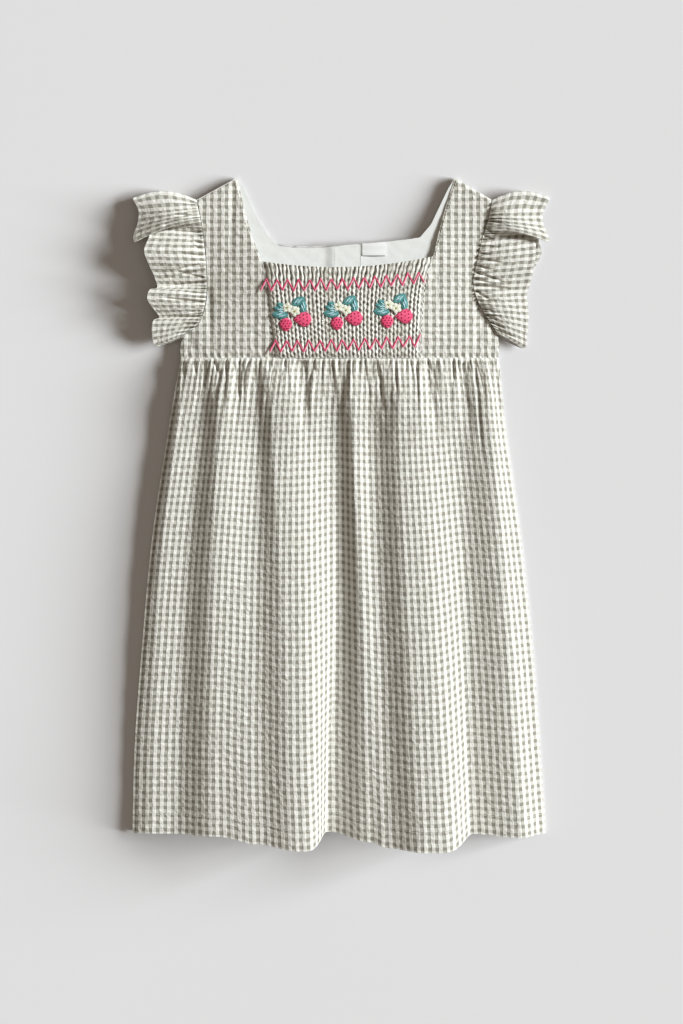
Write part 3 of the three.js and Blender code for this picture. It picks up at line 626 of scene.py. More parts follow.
def add_node(tree, kind, inputs=None, **settings):
    """Adds a node, sets its properties, and fills or links its inputs."""
    made = tree.nodes.new(kind)
    for key, value in settings.items():
        setattr(made, key, value)
    for key, value in (inputs or {}).items():
        if isinstance(value, bpy.types.NodeSocket):
            tree.links.new(value, made.inputs[key])
        else:
            made.inputs[key].default_value = value
    return made


def blend_colours(tree, share, a, b, way="MIX"):
    """Mixes two colours, each a socket or a linear colour."""
    inputs = {0: share, 6: a, 7: b}
    full = {k: (*v, 1) if isinstance(v, tuple) else v for k, v in inputs.items()}
    return add_node(tree, "ShaderNodeMix", full, data_type="RGBA", blend_type=way).outputs[2]


def start_material(name, roughness, **sockets):
    """A new material with one Principled shader, its constants on the shader's own sockets."""
    material = bpy.data.materials.new(name)
    material.use_nodes = True
    tree = material.node_tree
    shader = tree.nodes["Principled BSDF"]
    shader.inputs["Roughness"].default_value = roughness
    for key, value in sockets.items():
        shader.inputs[key.replace("_", " ")].default_value = value
    return material, tree, shader


def math_node(tree, operation, *values):
    return add_node(tree, "ShaderNodeMath", dict(enumerate(values)), operation=operation).outputs[0]


def step_between(tree, value, low, high):
    """Zero below low, one above high, smooth between."""
    inputs = {"Value": value, "From Min": low, "From Max": high}
    return add_node(tree, "ShaderNodeMapRange", inputs, interpolation_type="SMOOTHSTEP").outputs[0]


def stretched_noise(tree, place, across, along, detail=2.0):
    """Noise with cells of the given size, in metres, along the weft and the warp."""
    scale = (1 / across, 1 / along, 0)
    scaled = add_node(tree, "ShaderNodeVectorMath", {0: place, 1: scale}, operation="MULTIPLY").outputs[0]
    inputs = {"Vector": scaled, "Scale": 1.0, "Detail": detail}
    return add_node(tree, "ShaderNodeTexNoise", inputs).outputs["Fac"]


def bump_shader(tree, shader, height, strength=1.0):
    """Drives the shader's normal by a height in millimetres."""
    inputs = {"Strength": strength, "Distance": MM, "Height": height}
    tree.links.new(add_node(tree, "ShaderNodeBump", inputs).outputs[0], shader.inputs["Normal"])


# Lengths in the materials are in metres, as the UV map is, and heights in millimetres. A slub is the thick
# place in a yarn, given by its cells along the weft and along the warp.
WANDER = 0.0019
WANDER_CELL = 0.0065
SQUARE_TURN = (0.42, 0.62)
SLUBS = ((0.0007, 0.006), (0.006, 0.0008))
SLUB_SHADE = (0.86, 0.855, 0.84)
THREAD_PITCH = 0.00062
THREAD_HEIGHT = 0.06
BLISTER_WIDE = 1.6
BLISTER_LONG = 1.1
BLISTER_RISE = 2.6
WARP_FLATNESS = 0.55
LAWN_SLUBS = ((0.0005, 0.004), (0.004, 0.0005))
LAWN_SHADE = 0.93
TAPE_RIB = 0.0003
# How grey the painted shade in the grooves between the ribs of the tape is
TAPE_GROOVE_SHADE = 0.92
PLY_SCALE = 1400.0
# How dark the painted shade, how light the painted sheen and how much paler the sheen is in the streaks of
# stranded cotton
PLY_PAINTED_SHADE = 0.79
PLY_PAINTED_SHEEN = 1.12
PLY_SHEEN_PALER = 0.02
PAPER_SHADE = 0.985


def seersucker(cloth, colours):
    """Yarn-dyed seersucker cotton: cream and taupe yarns woven in a small check, with puckered stripes
    between flat ones. It looks matt and dry, its squares waver a little, and each pucker has a light and a
    dark side. The threads are drawn at about twice their real pitch, because real ones are too fine to
    show."""
    if "seersucker_cotton" in bpy.data.materials:
        return bpy.data.materials["seersucker_cotton"]
    material, tree, shader = start_material("seersucker_cotton", 0.92, Sheen_Weight=0.12, Sheen_Roughness=0.5)
    flat = add_node(tree, "ShaderNodeUVMap", uv_map=CLOTH_MAP).outputs[0]
    noise = add_node(tree, "ShaderNodeTexNoise", {"Vector": flat, "Scale": 1 / WANDER_CELL, "Detail": 1.0})
    centred = add_node(tree, "ShaderNodeVectorMath", {0: noise.outputs["Color"], 1: (0.5, 0.5, 0.5)},
                       operation="SUBTRACT").outputs[0]
    pull = add_node(tree, "ShaderNodeVectorMath", {0: centred, "Scale": WANDER}, operation="SCALE").outputs[0]
    place = add_node(tree, "ShaderNodeVectorMath", {0: flat, 1: pull}, operation="ADD").outputs[0]
    across = add_node(tree, "ShaderNodeSeparateXYZ", {0: place})
    turn_from, turn_to = (cloth.check * share for share in SQUARE_TURN)
    warp, weft = [
        step_between(tree, math_node(tree, "PINGPONG", across.outputs[axis], cloth.check), turn_from, turn_to)
        for axis in (0, 1)
    ]
    pale = blend_colours(tree, weft, tuple(colours.cream), tuple(colours.weft_tone))
    deep = blend_colours(tree, weft, tuple(colours.warp_tone), tuple(colours.taupe))
    checked = blend_colours(tree, warp, pale, deep)
    slubs = math_node(tree, "ADD", *(stretched_noise(tree, place, *slub) for slub in SLUBS))
    shade = step_between(tree, slubs, 0.6, 1.4)
    uneven = blend_colours(tree, shade, SLUB_SHADE, (1.0, 1.0, 1.0))
    tree.links.new(blend_colours(tree, 1.0, checked, uneven, "MULTIPLY"), shader.inputs["Base Color"])
    ridges = [math_node(tree, "PINGPONG", across.outputs[axis], THREAD_PITCH / 2) for axis in (0, 1)]
    threads = math_node(tree, "MULTIPLY", *ridges)
    fine = math_node(tree, "MULTIPLY", threads, THREAD_HEIGHT / (THREAD_PITCH / 2) ** 2)
    blisters = stretched_noise(tree, place, cloth.check * BLISTER_WIDE, cloth.check * BLISTER_LONG, 1.0)
    flatness = math_node(tree, "SUBTRACT", 1.0, math_node(tree, "MULTIPLY", warp, WARP_FLATNESS))
    rise = cloth.pucker * BLISTER_RISE / MM
    puckers = math_node(tree, "MULTIPLY", math_node(tree, "MULTIPLY", blisters, flatness), rise)
    bump_shader(tree, shader, math_node(tree, "ADD", fine, puckers))
    return material


def lawn(colours):
    """White cotton lawn: a fine plain weave, smooth and faintly soft, with hardly any relief. The threads are
    drawn coarser than they are, because real ones are too fine to show."""
    material, tree, shader = start_material("cotton_lawn", 0.85, Sheen_Weight=0.08)
    flat = add_node(tree, "ShaderNodeUVMap", uv_map=CLOTH_MAP).outputs[0]
    weave = math_node(tree, "ADD", *(stretched_noise(tree, flat, *slub) for slub in LAWN_SLUBS))
    shade = step_between(tree, weave, 0.5, 1.5)
    grey = tuple(c * LAWN_SHADE for c in colours.lining)
    tree.links.new(blend_colours(tree, shade, grey, tuple(colours.lining)), shader.inputs["Base Color"])
    bump_shader(tree, shader, weave, 0.12)
    return material


def woven_tape(colours):
    """Blank satin-woven tape: close ribs across it, with painted shade in the grooves between them, give a
    faint silky line.
    """
    material, tree, shader = start_material("woven_tape", 0.5, Sheen_Weight=0.2)
    flat = add_node(tree, "ShaderNodeUVMap", uv_map=CLOTH_MAP).outputs[0]
    along = add_node(tree, "ShaderNodeSeparateXYZ", {0: flat}).outputs[0]
    ribs = math_node(tree, "PINGPONG", along, TAPE_RIB)
    # Painted shade: each rib is greyer in its groove and paler on its top, as its bump is
    shade = step_between(tree, ribs, 0.0, TAPE_RIB)
    grey = tuple(c * TAPE_GROOVE_SHADE for c in colours.tape)
    tree.links.new(blend_colours(tree, shade, grey, tuple(colours.tape)), shader.inputs["Base Color"])
    bump_shader(tree, shader, shade, 0.05)
    return material


def stranded_cotton(name, colour, roughness=0.55):
    """Mercerised stranded cotton: a loose silky twist. Its colour is streaked with painted sheen and painted
    shade, a paler and a darker copy of itself, on the noise that also bumps its plies.
    """
    if name in bpy.data.materials:
        return bpy.data.materials[name]
    material, tree, shader = start_material(name, roughness, Sheen_Weight=0.25)
    place = add_node(tree, "ShaderNodeTexCoord").outputs["Object"]
    inputs = {"Vector": place, "Scale": PLY_SCALE, "Detail": 2.0}
    plies = add_node(tree, "ShaderNodeTexNoise", inputs).outputs["Fac"]
    shade = step_between(tree, plies, 0.3, 0.7)
    # Painted shade and painted sheen: a darker and a paler copy of the thread colour, streaked by the ply
    # noise
    deep = tuple(c * PLY_PAINTED_SHADE for c in colour)
    light = tuple(min(1.0, c * PLY_PAINTED_SHEEN + PLY_SHEEN_PALER) for c in colour)
    tree.links.new(blend_colours(tree, shade, deep, light), shader.inputs["Base Color"])
    bump_shader(tree, shader, plies, 0.25)
    return material


def floor_paper(stage):
    """Pale matt background paper, with a broad and hardly visible mottle."""
    material, tree, shader = start_material("matt_paper_floor", 0.95)
    place = add_node(tree, "ShaderNodeTexCoord").outputs["Object"]
    noise = {"Vector": place, "Scale": 3.0, "Detail": 2.0}
    mottle = add_node(tree, "ShaderNodeTexNoise", noise).outputs["Fac"]
    dim = tuple(c * PAPER_SHADE for c in stage.floor)
    tree.links.new(blend_colours(tree, mottle, dim, tuple(stage.floor)), shader.inputs["Base Color"])
    return material


# Making cloth and stitches

SMOOTH_ANGLE = 70
STITCH_SIDES = 6
STITCH_RINGS = 6


def deselect_all():
    bpy.ops.object.select_all(action="DESELECT")


def make_sheet(name, places, cloth, material, thickness):
    """A sheet from a grid of points, made thick inwards, with its place on the flat cut as its UV map."""
    rows, columns = places.shape[:2]
    deselect_all()
    bpy.ops.mesh.primitive_grid_add(x_subdivisions=columns - 1, y_subdivisions=rows - 1, size=1)
    sheet = bpy.context.object
    sheet.name = name
    sheet.data.name = name
    sheet.data.vertices.foreach_set("co", (places * MM).ravel())
    corners = np.empty(len(sheet.data.loops), int)
    sheet.data.loops.foreach_get("vertex_index", corners)
    layer = sheet.data.uv_layers[0]
    layer.name = CLOTH_MAP
    layer.data.foreach_set("uv", (cloth.reshape(-1, 2)[corners] * MM).ravel())
    sheet.data.update()
    sheet.data.materials.append(material)
    bpy.ops.object.modifier_add(type="SOLIDIFY")
    wall = sheet.modifiers[-1]
    wall.thickness = thickness
    wall.offset = -1
    bpy.ops.object.modifier_apply(modifier=wall.name)
    bpy.ops.object.shade_smooth_by_angle(angle=np.radians(SMOOTH_ANGLE))
    return sheet


def dress_cloth(name, places, cloth, material, thickness, node):
    """Makes a sheet, with its cut as its UV map, and lets it stand for its solid."""
    sheet = make_sheet(name, places, cloth, material, thickness)
    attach(sheet, BODY)
    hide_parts(node)
    return sheet


def one_stitch():
    """The points and faces of one stitch along x, from -1 to 1: a sphere drawn out to blunt ends."""
    deselect_all()
    bpy.ops.mesh.primitive_uv_sphere_add(segments=STITCH_SIDES, ring_count=STITCH_RINGS, radius=1)
    ball = bpy.context.object
    points = np.array([v.co for v in ball.data.vertices])[:, [2, 0, 1]]
    faces = [list(face.vertices) for face in ball.data.polygons]
    bpy.data.objects.remove(ball)
    reach = np.sign(points[:, 0]) * np.abs(points[:, 0]) ** 0.8
    round_part = np.linalg.norm(points[:, 1:], axis=1)
    full = np.sqrt(np.clip(1 - np.abs(reach) ** 3, 0, 1))
    scale = np.where(round_part > 1e-6, full / np.maximum(round_part, 1e-6), 0)
    return np.column_stack([reach, points[:, 1] * scale, points[:, 2] * scale]), faces


def lay_stitches(name, starts, ends, width, height, material, bend=0.0):
    """One joined mesh of stitches, each from its start to its end and bent down at its ends."""
    form, faces = one_stitch()
    starts, ends = np.asarray(starts, float), np.asarray(ends, float)
    axis = (ends - starts) / 2
    side = np.cross([0, 0, 1], axis)
    side /= np.maximum(np.linalg.norm(side, axis=1, keepdims=True), 1e-9)
    up = np.cross(axis, side)
    up /= np.linalg.norm(up, axis=1, keepdims=True)
    width = np.broadcast_to(width, len(starts))[:, None, None]
    height = np.broadcast_to(height, len(starts))[:, None, None]
    along, beside, above = form[None, :, 0, None], form[None, :, 1, None], form[None, :, 2, None]
    points = ((starts + ends) / 2)[:, None] + along * axis[:, None] + beside * side[:, None] * width / 2
    points = points + above * up[:, None] * height / 2
    points[..., 2] -= bend * form[None, :, 0] ** 2
    step = len(form)
    joined = [[v + i * step for v in face] for i in range(len(starts)) for face in faces]
    mesh = bpy.data.meshes.new(name)
    mesh.from_pydata((points.reshape(-1, 3) * MM).tolist(), [], joined)
    mesh.materials.append(material)
    mesh.shade_smooth()
    stitches = bpy.data.objects.new(name, mesh)
    bpy.context.collection.objects.link(stitches)
    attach(stitches, BODY)
    return stitches


def run_of_stitches(line, length, gap):
    """Starts and ends of running stitches along a line of points."""
    along = np.concatenate([[0], np.cumsum(np.linalg.norm(np.diff(line, axis=0), axis=1))])
    first = np.arange(gap, along[-1] - length, length + gap)
    starts, ends = (
        np.column_stack([np.interp(at, along, line[:, k]) for k in range(3)])
        for at in (first, first + length)
    )
    return starts, ends


# Skirt

def skirt_side(depth, side):
    drops = [row.drop for row in SKIRT_SIDES]
    return through(drops, [getattr(row, side) for row in SKIRT_SIDES], depth * SKIRT_LENGTH)


FoldLines = namedtuple("FoldLines", "x rise late drop start end sharp")


def fold_lines(depth):
    """The fold lines at one depth, from one side of the skirt to the other."""
    x = [through(FOLD_DEPTHS, fold.x, depth) for fold in FOLDS]
    x = [skirt_side(depth, "left"), *x, skirt_side(depth, "right")]
    risen = max(depth, RISE_RUN * (1 - (1 - min(depth / RISE_RUN, 1)) ** 2))
    rise = [0, *(through(FOLD_DEPTHS, fold.rise, risen) for fold in FOLDS), 0]
    late = [1, *(lerp(1, fold.late, depth) for fold in FOLDS), 1]
    drop = [0, *(fold.drop for fold in FOLDS), 0]
    start, end = (
        [edge, *(lerp(fold.waist_turn[edge], fold.hem_turn[edge], depth) for fold in FOLDS), edge]
        for edge in (0, 1)
    )
    sharp = [0, *(lerp(*fold.sharp, depth) for fold in FOLDS), 0]
    return FoldLines(*(np.array(values, float) for values in (x, rise, late, drop, start, end, sharp)))


def between(lines, x, key):
    """The rise or the drop at x, between the two nearest fold lines."""
    values = getattr(lines, key)
    k = np.clip(np.searchsorted(lines.x, x) - 1, 0, len(lines.x) - 2)
    t = np.clip((x - lines.x[k]) / (lines.x[k + 1] - lines.x[k]), 0, 1) ** lines.late[k]
    t = np.clip((t - lines.start[k]) / (lines.end[k] - lines.start[k]), 0, 1)
    edged = np.where(lines.sharp[k] > 0, t ** 2, t * (2 - t))
    return lerp(values[k], values[k + 1], lerp(smooth(t), edged, np.abs(lines.sharp[k])))


def skirt_under(lines, x, depth):
    crown = 1 - smooth(depth / CROWN_FADE)
    held = bodice_under(x, WAIST_Y) - SKIRT_UNDER
    return SKIRT_UNDER + np.maximum(0, between(lines, x, "rise")) + crown * held


def gathers(share, depth):
    """Ridges that the gathering thread leaves below the waist seam, each of its own height and length."""
    wander = GATHER_WANDER * np.sin(share * 57 + depth * 22)
    wander = wander + GATHER_FINE_WANDER * np.sin(share * 131 - depth * 45)
    place = share * GATHERS + wander
    index = np.floor(place)
    height = GATHER_RISE * (1 - GATHER_HEIGHT_SPREAD * (1 - np.sin(index * 2.1)))
    reach = GATHER_REACH * (1 + GATHER_REACH_SPREAD * np.sin(index * 3.7 + 1))
    fade = np.clip(1 - depth / reach, 0, 1) ** GATHER_FADE * lerp(0.5, 1, smooth(depth / GATHER_SWELL))
    return height * fade * np.abs(np.sin(np.pi * place)) ** GATHER_ROUND


def crease_relief(creases, x, y):
    """How far the listed soft troughs lower the cloth."""
    low = np.zeros_like(x)
    for crease in creases:
        run_x, run_y = crease.to_x - crease.from_x, crease.to_y - crease.from_y
        length = np.hypot(run_x, run_y)
        t = ((x - crease.from_x) * run_x + (y - crease.from_y) * run_y) / length ** 2
        away = ((x - crease.from_x) * run_y - (y - crease.from_y) * run_x) / length
        window = smooth((t + CREASE_EARLY) * CREASE_ENTER) * smooth((1 - t) * CREASE_LEAVE)
        low += crease.deep * window * np.exp(-(away / crease.wide) ** 2)
    return low


# The front skirt's columns and rows, which lie closer where the gathers are
PROFILE_STEPS = 900
SKIRT_COLUMNS = 440
GATHERED_SHARE = 0.1
GATHERED_ROWS = 30
HANGING_ROWS = 80
SKIRT_DEPTHS = np.concatenate([
    np.linspace(0, GATHERED_SHARE, GATHERED_ROWS, endpoint=False),
    np.linspace(GATHERED_SHARE, 1, HANGING_ROWS),
])
BACK_HEM_UP = 2


def skirt_row(depth, shares):
    """Points of the outer face of the front skirt at one depth, at shares of its width, and that width."""
    lines = fold_lines(depth)
    profile = np.linspace(lines.x[0], lines.x[-1], PROFILE_STEPS + 1)
    rise = skirt_under(lines, profile, depth)
    along = np.concatenate([[0], np.cumsum(np.hypot(np.diff(profile), np.diff(rise)))])
    x = np.interp(shares * along[-1], along, profile)
    y = lerp(WAIST_Y + SEAM_TUCK, HEM_Y - between(lines, x, "drop"), depth)
    z = skirt_under(lines, x, depth) + CLOTH + gathers(shares, depth)
    z -= crease_relief(SKIRT_CREASES, x, y) * smooth(depth / CREASE_FADE)
    tucked = smooth((y - WAIST_Y + SEAM_ROLL) / (SEAM_ROLL + SEAM_TUCK))
    z -= np.maximum(0, z - skirt_under(lines, x, depth) - CLOTH + SEAM_DEEP) * tucked
    edge = np.minimum(x - lines.x[0], lines.x[-1] - x)
    z -= SIDE_ROLL * (1 - smooth(edge / SIDE_RUN)) * smooth(depth / SIDE_FADE)
    return np.column_stack([x, y, z]), along[-1]


def front_skirt_grid():
    shares = np.linspace(0, 1, SKIRT_COLUMNS + 1)
    made = [skirt_row(depth, shares) for depth in SKIRT_DEPTHS]
    places = np.array([row for row, _ in made])
    width = made[-1][1]
    cloth = np.empty(places.shape[:2] + (2,))
    cloth[..., 0] = shares * width
    cloth[..., 1] = ((1 - SKIRT_DEPTHS) * SKIRT_LENGTH)[:, None]
    fade = smooth(SKIRT_DEPTHS * RIPPLE_FADE)[:, None]
    places[..., 2] += ripple(cloth[..., 0], cloth[..., 1], SKIRT_RIPPLE) * fade
    return places[::-1], cloth[::-1]


def back_skirt_grid():
    rows, columns = BACK_SKIRT_GRID
    depths = np.linspace(1, 0, rows)
    shares = np.linspace(0, 1, columns)
    left, right = skirt_side(depths, "left"), skirt_side(depths, "right")
    x = lerp(left[:, None], right[:, None], shares)
    y = np.broadcast_to(lerp(WAIST_Y - SEAM_GAP, HEM_Y + BACK_HEM_UP, depths)[:, None], x.shape)
    width = right[0] - left[0]
    cloth = np.stack([np.broadcast_to(shares * width, x.shape), y - HEM_Y], axis=-1)
    fade = np.clip(1 - depths / BACK_GATHER_REACH, 0, 1)[:, None]
    gathered = BACK_GATHER_RISE * np.abs(np.sin(np.pi * GATHERS * shares)) * fade
    z = BACK_SKIRT_LEVEL + ripple(cloth[..., 0], cloth[..., 1], BACK_SKIRT_RIPPLE) + gathered
    return np.stack([x, y, z], axis=-1), cloth


# Bodice

def side_panel_grid(outer, inner):
    """A front side panel between its armhole and its neck edge, left edge first."""
    rows, columns = PANEL_GRID
    heights = np.linspace(0, 1, rows)
    armhole_edge, neck_edge = spline(outer, heights), spline(inner, heights)
    from_edge, to_edge = sorted((armhole_edge, neck_edge), key=lambda edge: edge[0, 0])
    shares = np.linspace(0, 1, columns)[:, None]
    flat = lerp(from_edge[:, None], to_edge[:, None], shares)
    x, y = flat[..., 0], flat[..., 1]
    length = np.linalg.norm(np.diff(neck_edge, axis=0), axis=1).sum()
    to_shoulder = ((1 - heights) * length)[:, None]
    to_neck = np.linalg.norm(flat - neck_edge[:, None], axis=-1)
    z = bodice_under(x, y) + CLOTH + ripple(x, y, PANEL_RIPPLE) - crease_relief(PANEL_CREASES, x, y)
    up = y - WAIST_Y
    pucker = np.abs(np.sin((x + PUCKER_LEAN * up + np.sin(x / 7)) / PUCKER_PITCH * np.pi)) ** GATHER_ROUND
    z = z - PUCKER_RISE * (1 - pucker) * np.clip(1 - up / PUCKER_RUN, 0, 1)
    z = z - SHOULDER_ROLL * (1 - smooth(to_shoulder / ROLL_RUN))
    z = z - NECK_ROLL * (1 - smooth(to_neck / ROLL_RUN)) * (heights > CORNER_SHARE)[:, None]
    return np.stack([x, y, z], axis=-1), flat.copy()


def zigzag_height(row, x):
    share = (x - row.left_x) / (row.right_x - row.left_x)
    return lerp(row.left_y, row.right_y, share) + row.bend * 4 * share * (1 - share)


def pleats(share, x, y, rows_up):
    """Height of the smocked pleats and how far each ridge sways towards its neighbour."""
    turn = share * SMOCK_PLEATS
    lower, upper = ZIGZAGS
    above = smooth((y - zigzag_height(upper, x) - ZONE_EDGE) / ZONE_EDGE)
    below = smooth((zigzag_height(lower, x) - ZONE_EDGE - y) / ZONE_EDGE)
    pinch = np.maximum(*(1 - smooth(np.abs(y - zigzag_height(row, x)) / PINCH_WIDTH) for row in ZIGZAGS))
    drift = HONEYCOMB_DRIFT * np.sin(turn * 0.9 + y / 17) + FINE_DRIFT * np.sin(turn * 0.31 - y / 9)
    cell = np.cos(2 * np.pi * y / HONEYCOMB + drift)
    quiet = (1 - above) * (1 - pinch)
    sway = PLEAT_SWAY * np.cos(np.pi * turn) * cell * quiet
    sway = sway + HEADING_SWAY * np.sin(turn * 1.7 + y / 5.0) * np.sin(y / 3.1 + turn) * (0.5 + above)
    valley = np.floor(turn)
    opening = np.where(valley % 2 == 0, -1, 1) * cell
    breaks = np.sin(2 * np.pi * y / PLEAT_BREAK_PITCH + valley * 2.7 + 1.3 * np.sin(valley * 5.1 + y / 11))
    deep = HONEYCOMB_DEEP * (1 + HONEYCOMB_SPREAD * opening * quiet + PLEAT_BREAKS * breaks)
    heading = HEADING_DEEP * (HEADING_MEAN + HEADING_SPREAD * np.sin(valley * 2.45))
    deep = lerp(deep, heading, above) * (1 - LOW_SHALLOWER * below)
    deep = lerp(deep, PINCH_DEEP, pinch)
    trough = 1 - np.abs(np.cos(np.pi * turn)) ** PLEAT_ROUND
    calm = smooth(rows_up / CALM_FOOT) * smooth((1 - rows_up) / CALM_TOP)
    beside = smooth(turn / SIDE_TURNS) * smooth((SMOCK_PLEATS - turn) / SIDE_TURNS)
    foot = lerp(FOOT_SHARE, 1, smooth((y - WAIST_Y) / PLEAT_FOOT))
    return (PLEAT_RISE - deep * trough) * beside * foot, sway * calm


def smocked_grid(repeat):
    """The insert, pleated so that each pleat takes up one repeat of the check and shows its pale stripe."""
    heights = np.linspace(0, 1, SMOCK_ROWS)
    shares = np.linspace(0, 1, SMOCK_PLEATS * PLEAT_COLUMNS + 1)
    left = spline(LEFT_NECK, heights * CORNER_SHARE)
    right = spline(RIGHT_NECK, heights * CORNER_SHARE)
    left[:, 0] += SEAM_GAP
    right[:, 0] -= SEAM_GAP
    flat = lerp(left[:, None], right[:, None], shares[:, None])
    sag = (SMOCK_SAG * heights ** SAG_POWER)[:, None]
    x, y = flat[..., 0], flat[..., 1] - sag * 4 * shares * (1 - shares)
    rise, sway = pleats(np.broadcast_to(shares, x.shape), x, y, heights[:, None])
    z = bodice_under(x, y) + CLOTH + rise
    turn = shares * SMOCK_PLEATS
    taken = turn + TAKE_UP_SPREAD * np.sin(turn * 1.3) + TAKE_UP_SPREAD * np.sin(turn * 0.37 + 2)
    slip = PLEAT_SLIP * np.cos(np.pi * turn) + PLEAT_SLIP * np.sin(turn * 0.8)
    cloth = np.stack([np.broadcast_to(taken * repeat, x.shape), y + slip], axis=-1)
    return np.stack([x + sway, y, z], axis=-1), cloth


def lap(x):
    """How far the left half is lifted where it laps over the right one."""
    return LAP_LIFT * smooth((x - (PLACKET_FROM - LAP_RUN)) / LAP_RUN)


def back_half_grid(armhole, inner, is_left, level, relief):
    """Half of the back between its armhole and the line of its placket edge and neck."""
    rows, columns = BACK_GRID
    heights = np.linspace(0, 1, rows)
    outer = spline(armhole, heights)
    low = heights[heights <= CORNER_SHARE] / CORNER_SHARE
    high = (heights[heights > CORNER_SHARE] - CORNER_SHARE) / (1 - CORNER_SHARE)
    inside = np.concatenate([polyline(inner[:2], low), polyline(inner[1:], high)])
    first, second = (outer, inside) if is_left else (inside, outer)
    shares = np.linspace(0, 1, columns)[:, None]
    flat = lerp(first[:, None], second[:, None], shares)
    x, y = flat[..., 0], flat[..., 1]
    z = level + is_left * lap(x) + ripple(x, y, relief)
    return np.stack([x, y, z], axis=-1), flat.copy()


def left_back_line():
    """The placket edge and the neck of the left half, from the waist to the shoulder."""
    placket = [(PLACKET_TO, WAIST_Y), (PLACKET_TO, NECK_AT_EDGE), (PLACKET_FROM, NECK_AT_LAP)]
    return [*placket, *BACK_NECK_LEFT, LEFT_NECK[-1]]


def right_back_line(start, neck):
    """The placket edge and the neck of the right half, from the waist to the shoulder."""
    return [(start, WAIST_Y), (start, neck), *BACK_NECK_RIGHT, RIGHT_NECK[-1]]


# Ruffles

def beside_seam(armhole, y, side):
    """Places at heights up the armhole seam, set off from it by the gap, away from the middle."""
    curve = spline(armhole, np.linspace(0, 1, SEAM_STEPS + 1))
    tangent = np.gradient(curve, axis=0)
    tangent /= np.linalg.norm(tangent, axis=1, keepdims=True)
    seam_x, along_x, along_y = (
        np.interp(y, curve[:, 1], values) for values in (curve[:, 0], tangent[:, 0], tangent[:, 1])
    )
    return seam_x + side * along_y * RUFFLE_GAP, y - side * along_x * RUFFLE_GAP


def rib_places(ribs, at, armhole, out):
    """Points along the ribs read at places between them, from the seam (out 0) to the free edge (out 1)."""
    order = np.arange(len(ribs))
    read = {key: through(order, [getattr(rib, key) for rib in ribs], at)[:, None] for key in Rib._fields}
    seam_x, seam_y = beside_seam(armhole, read["seam_y"], np.sign(ribs[-1].tip_x))
    x = lerp(seam_x, read["tip_x"], out)
    y = lerp(seam_y, read["tip_y"], out) + read["bow"] * np.sin(np.pi * out)
    z = lerp(RUFFLE_SEAM_Z, read["tip_z"], out) + read["swell"] * np.sin(np.pi * out ** RUFFLE_SWELL_NEAR)
    return np.stack([x, y, z], axis=-1)


def ruffle_grid(ribs, back_ribs, armhole):
    """A ruffle from the underarm up its front half, over the shoulder and flat down its back half."""
    out = np.linspace(0, 1, RUFFLE_COLUMNS + 1)
    last = len(ribs) - 1
    at = np.linspace(0, last, last * RUFFLE_STEPS, endpoint=False)
    front = rib_places(ribs, at, armhole, out)
    beat = GATHERS_PER_RIB * at + RUFFLE_GATHER_WANDER * np.sin(at * 2.9)
    reach = RUFFLE_GATHER_REACH * (RUFFLE_REACH_MEAN + RUFFLE_REACH_SPREAD * np.sin(at * 1.7))[:, None]
    fade = np.clip(1 - out / reach, 0, 1) ** RUFFLE_GATHER_FADE
    front[..., 2] += RUFFLE_GATHER * np.abs(np.sin(np.pi * beat))[:, None] ** RUFFLE_GATHER_ROUND * fade
    low = crease_relief(RUFFLE_CREASES, front[..., 0], front[..., 1])
    hem = smooth((out - (1 - RUFFLE_HEM / RUFFLE_WIDTH)) * RUFFLE_HEM_STEP)
    front[..., 2] = np.maximum(RUFFLE_LOWEST, front[..., 2] - low + RUFFLE_HEM_RISE * hem)
    fold = rib_places(ribs, np.array([last]), armhole, out)[0]
    turn = np.linspace(0, np.pi, RUFFLE_TURN_ROWS)[:, None]
    radius = fold[:, 2] / 2
    over = np.stack([
        np.broadcast_to(fold[:, 0], (RUFFLE_TURN_ROWS, len(out))),
        fold[:, 1] + radius * np.sin(turn),
        radius + radius * np.cos(turn),
    ], axis=-1)
    back_at = np.linspace(0, len(back_ribs) - 1, RUFFLE_BACK_ROWS)
    behind = rib_places(back_ribs, back_at, armhole, out)
    behind[..., 2] = 0
    bridge = lerp(over[-1], behind[0], np.linspace(0, 1, RUFFLE_BRIDGE_ROWS)[1:-1, None, None])
    places = np.concatenate([front, over, bridge, behind])
    edge = np.linalg.norm(np.diff(places[:, -1], axis=0), axis=1)
    along = np.concatenate([[0], np.cumsum(edge)]) * RUFFLE_FULLNESS
    cloth = np.stack(np.broadcast_arrays(along[:, None], out * RUFFLE_WIDTH), axis=-1)
    is_raised = places[..., 2] > RUFFLE_LOWEST_RIPPLE
    places[..., 2] += ripple(cloth[..., 0], cloth[..., 1], RUFFLE_RIPPLE) * is_raised
    if ribs[-1].tip_x < 0:
        places, cloth = places[:, ::-1], cloth[:, ::-1]
    return places, cloth


# Embroidery

def on_insert(x, y, lift):
    """Points on top of the smocked pleats."""
    return np.column_stack([x, y, bodice_under(x, y) + CLOTH + PLEAT_RISE + lift])


def zigzag_stitches(row):
    """Starts and ends of the short stitches that make one zigzag row, a few to each slope."""
    corners = np.arange(row.corners)
    x = lerp(row.left_x, row.right_x, corners / (row.corners - 1))
    x = x + ZIGZAG_UNEVEN_X * np.sin(corners * 2.3)
    y = zigzag_height(row, x) + ZIGZAG_RISE * np.where(corners % 2 == 0, -1, 1)
    y = y + ZIGZAG_UNEVEN_Y * np.sin(corners * 1.9)
    line = np.column_stack([x, y])
    starts, ends = [], []
    for a, b in zip(line[:-1], line[1:]):
        for k in range(ZIGZAG_STITCHES):
            starts.append(lerp(a, b, k / ZIGZAG_STITCHES - ZIGZAG_OVERLAP))
            ends.append(lerp(a, b, (k + 1) / ZIGZAG_STITCHES + ZIGZAG_OVERLAP))
    return np.array(starts), np.array(ends)


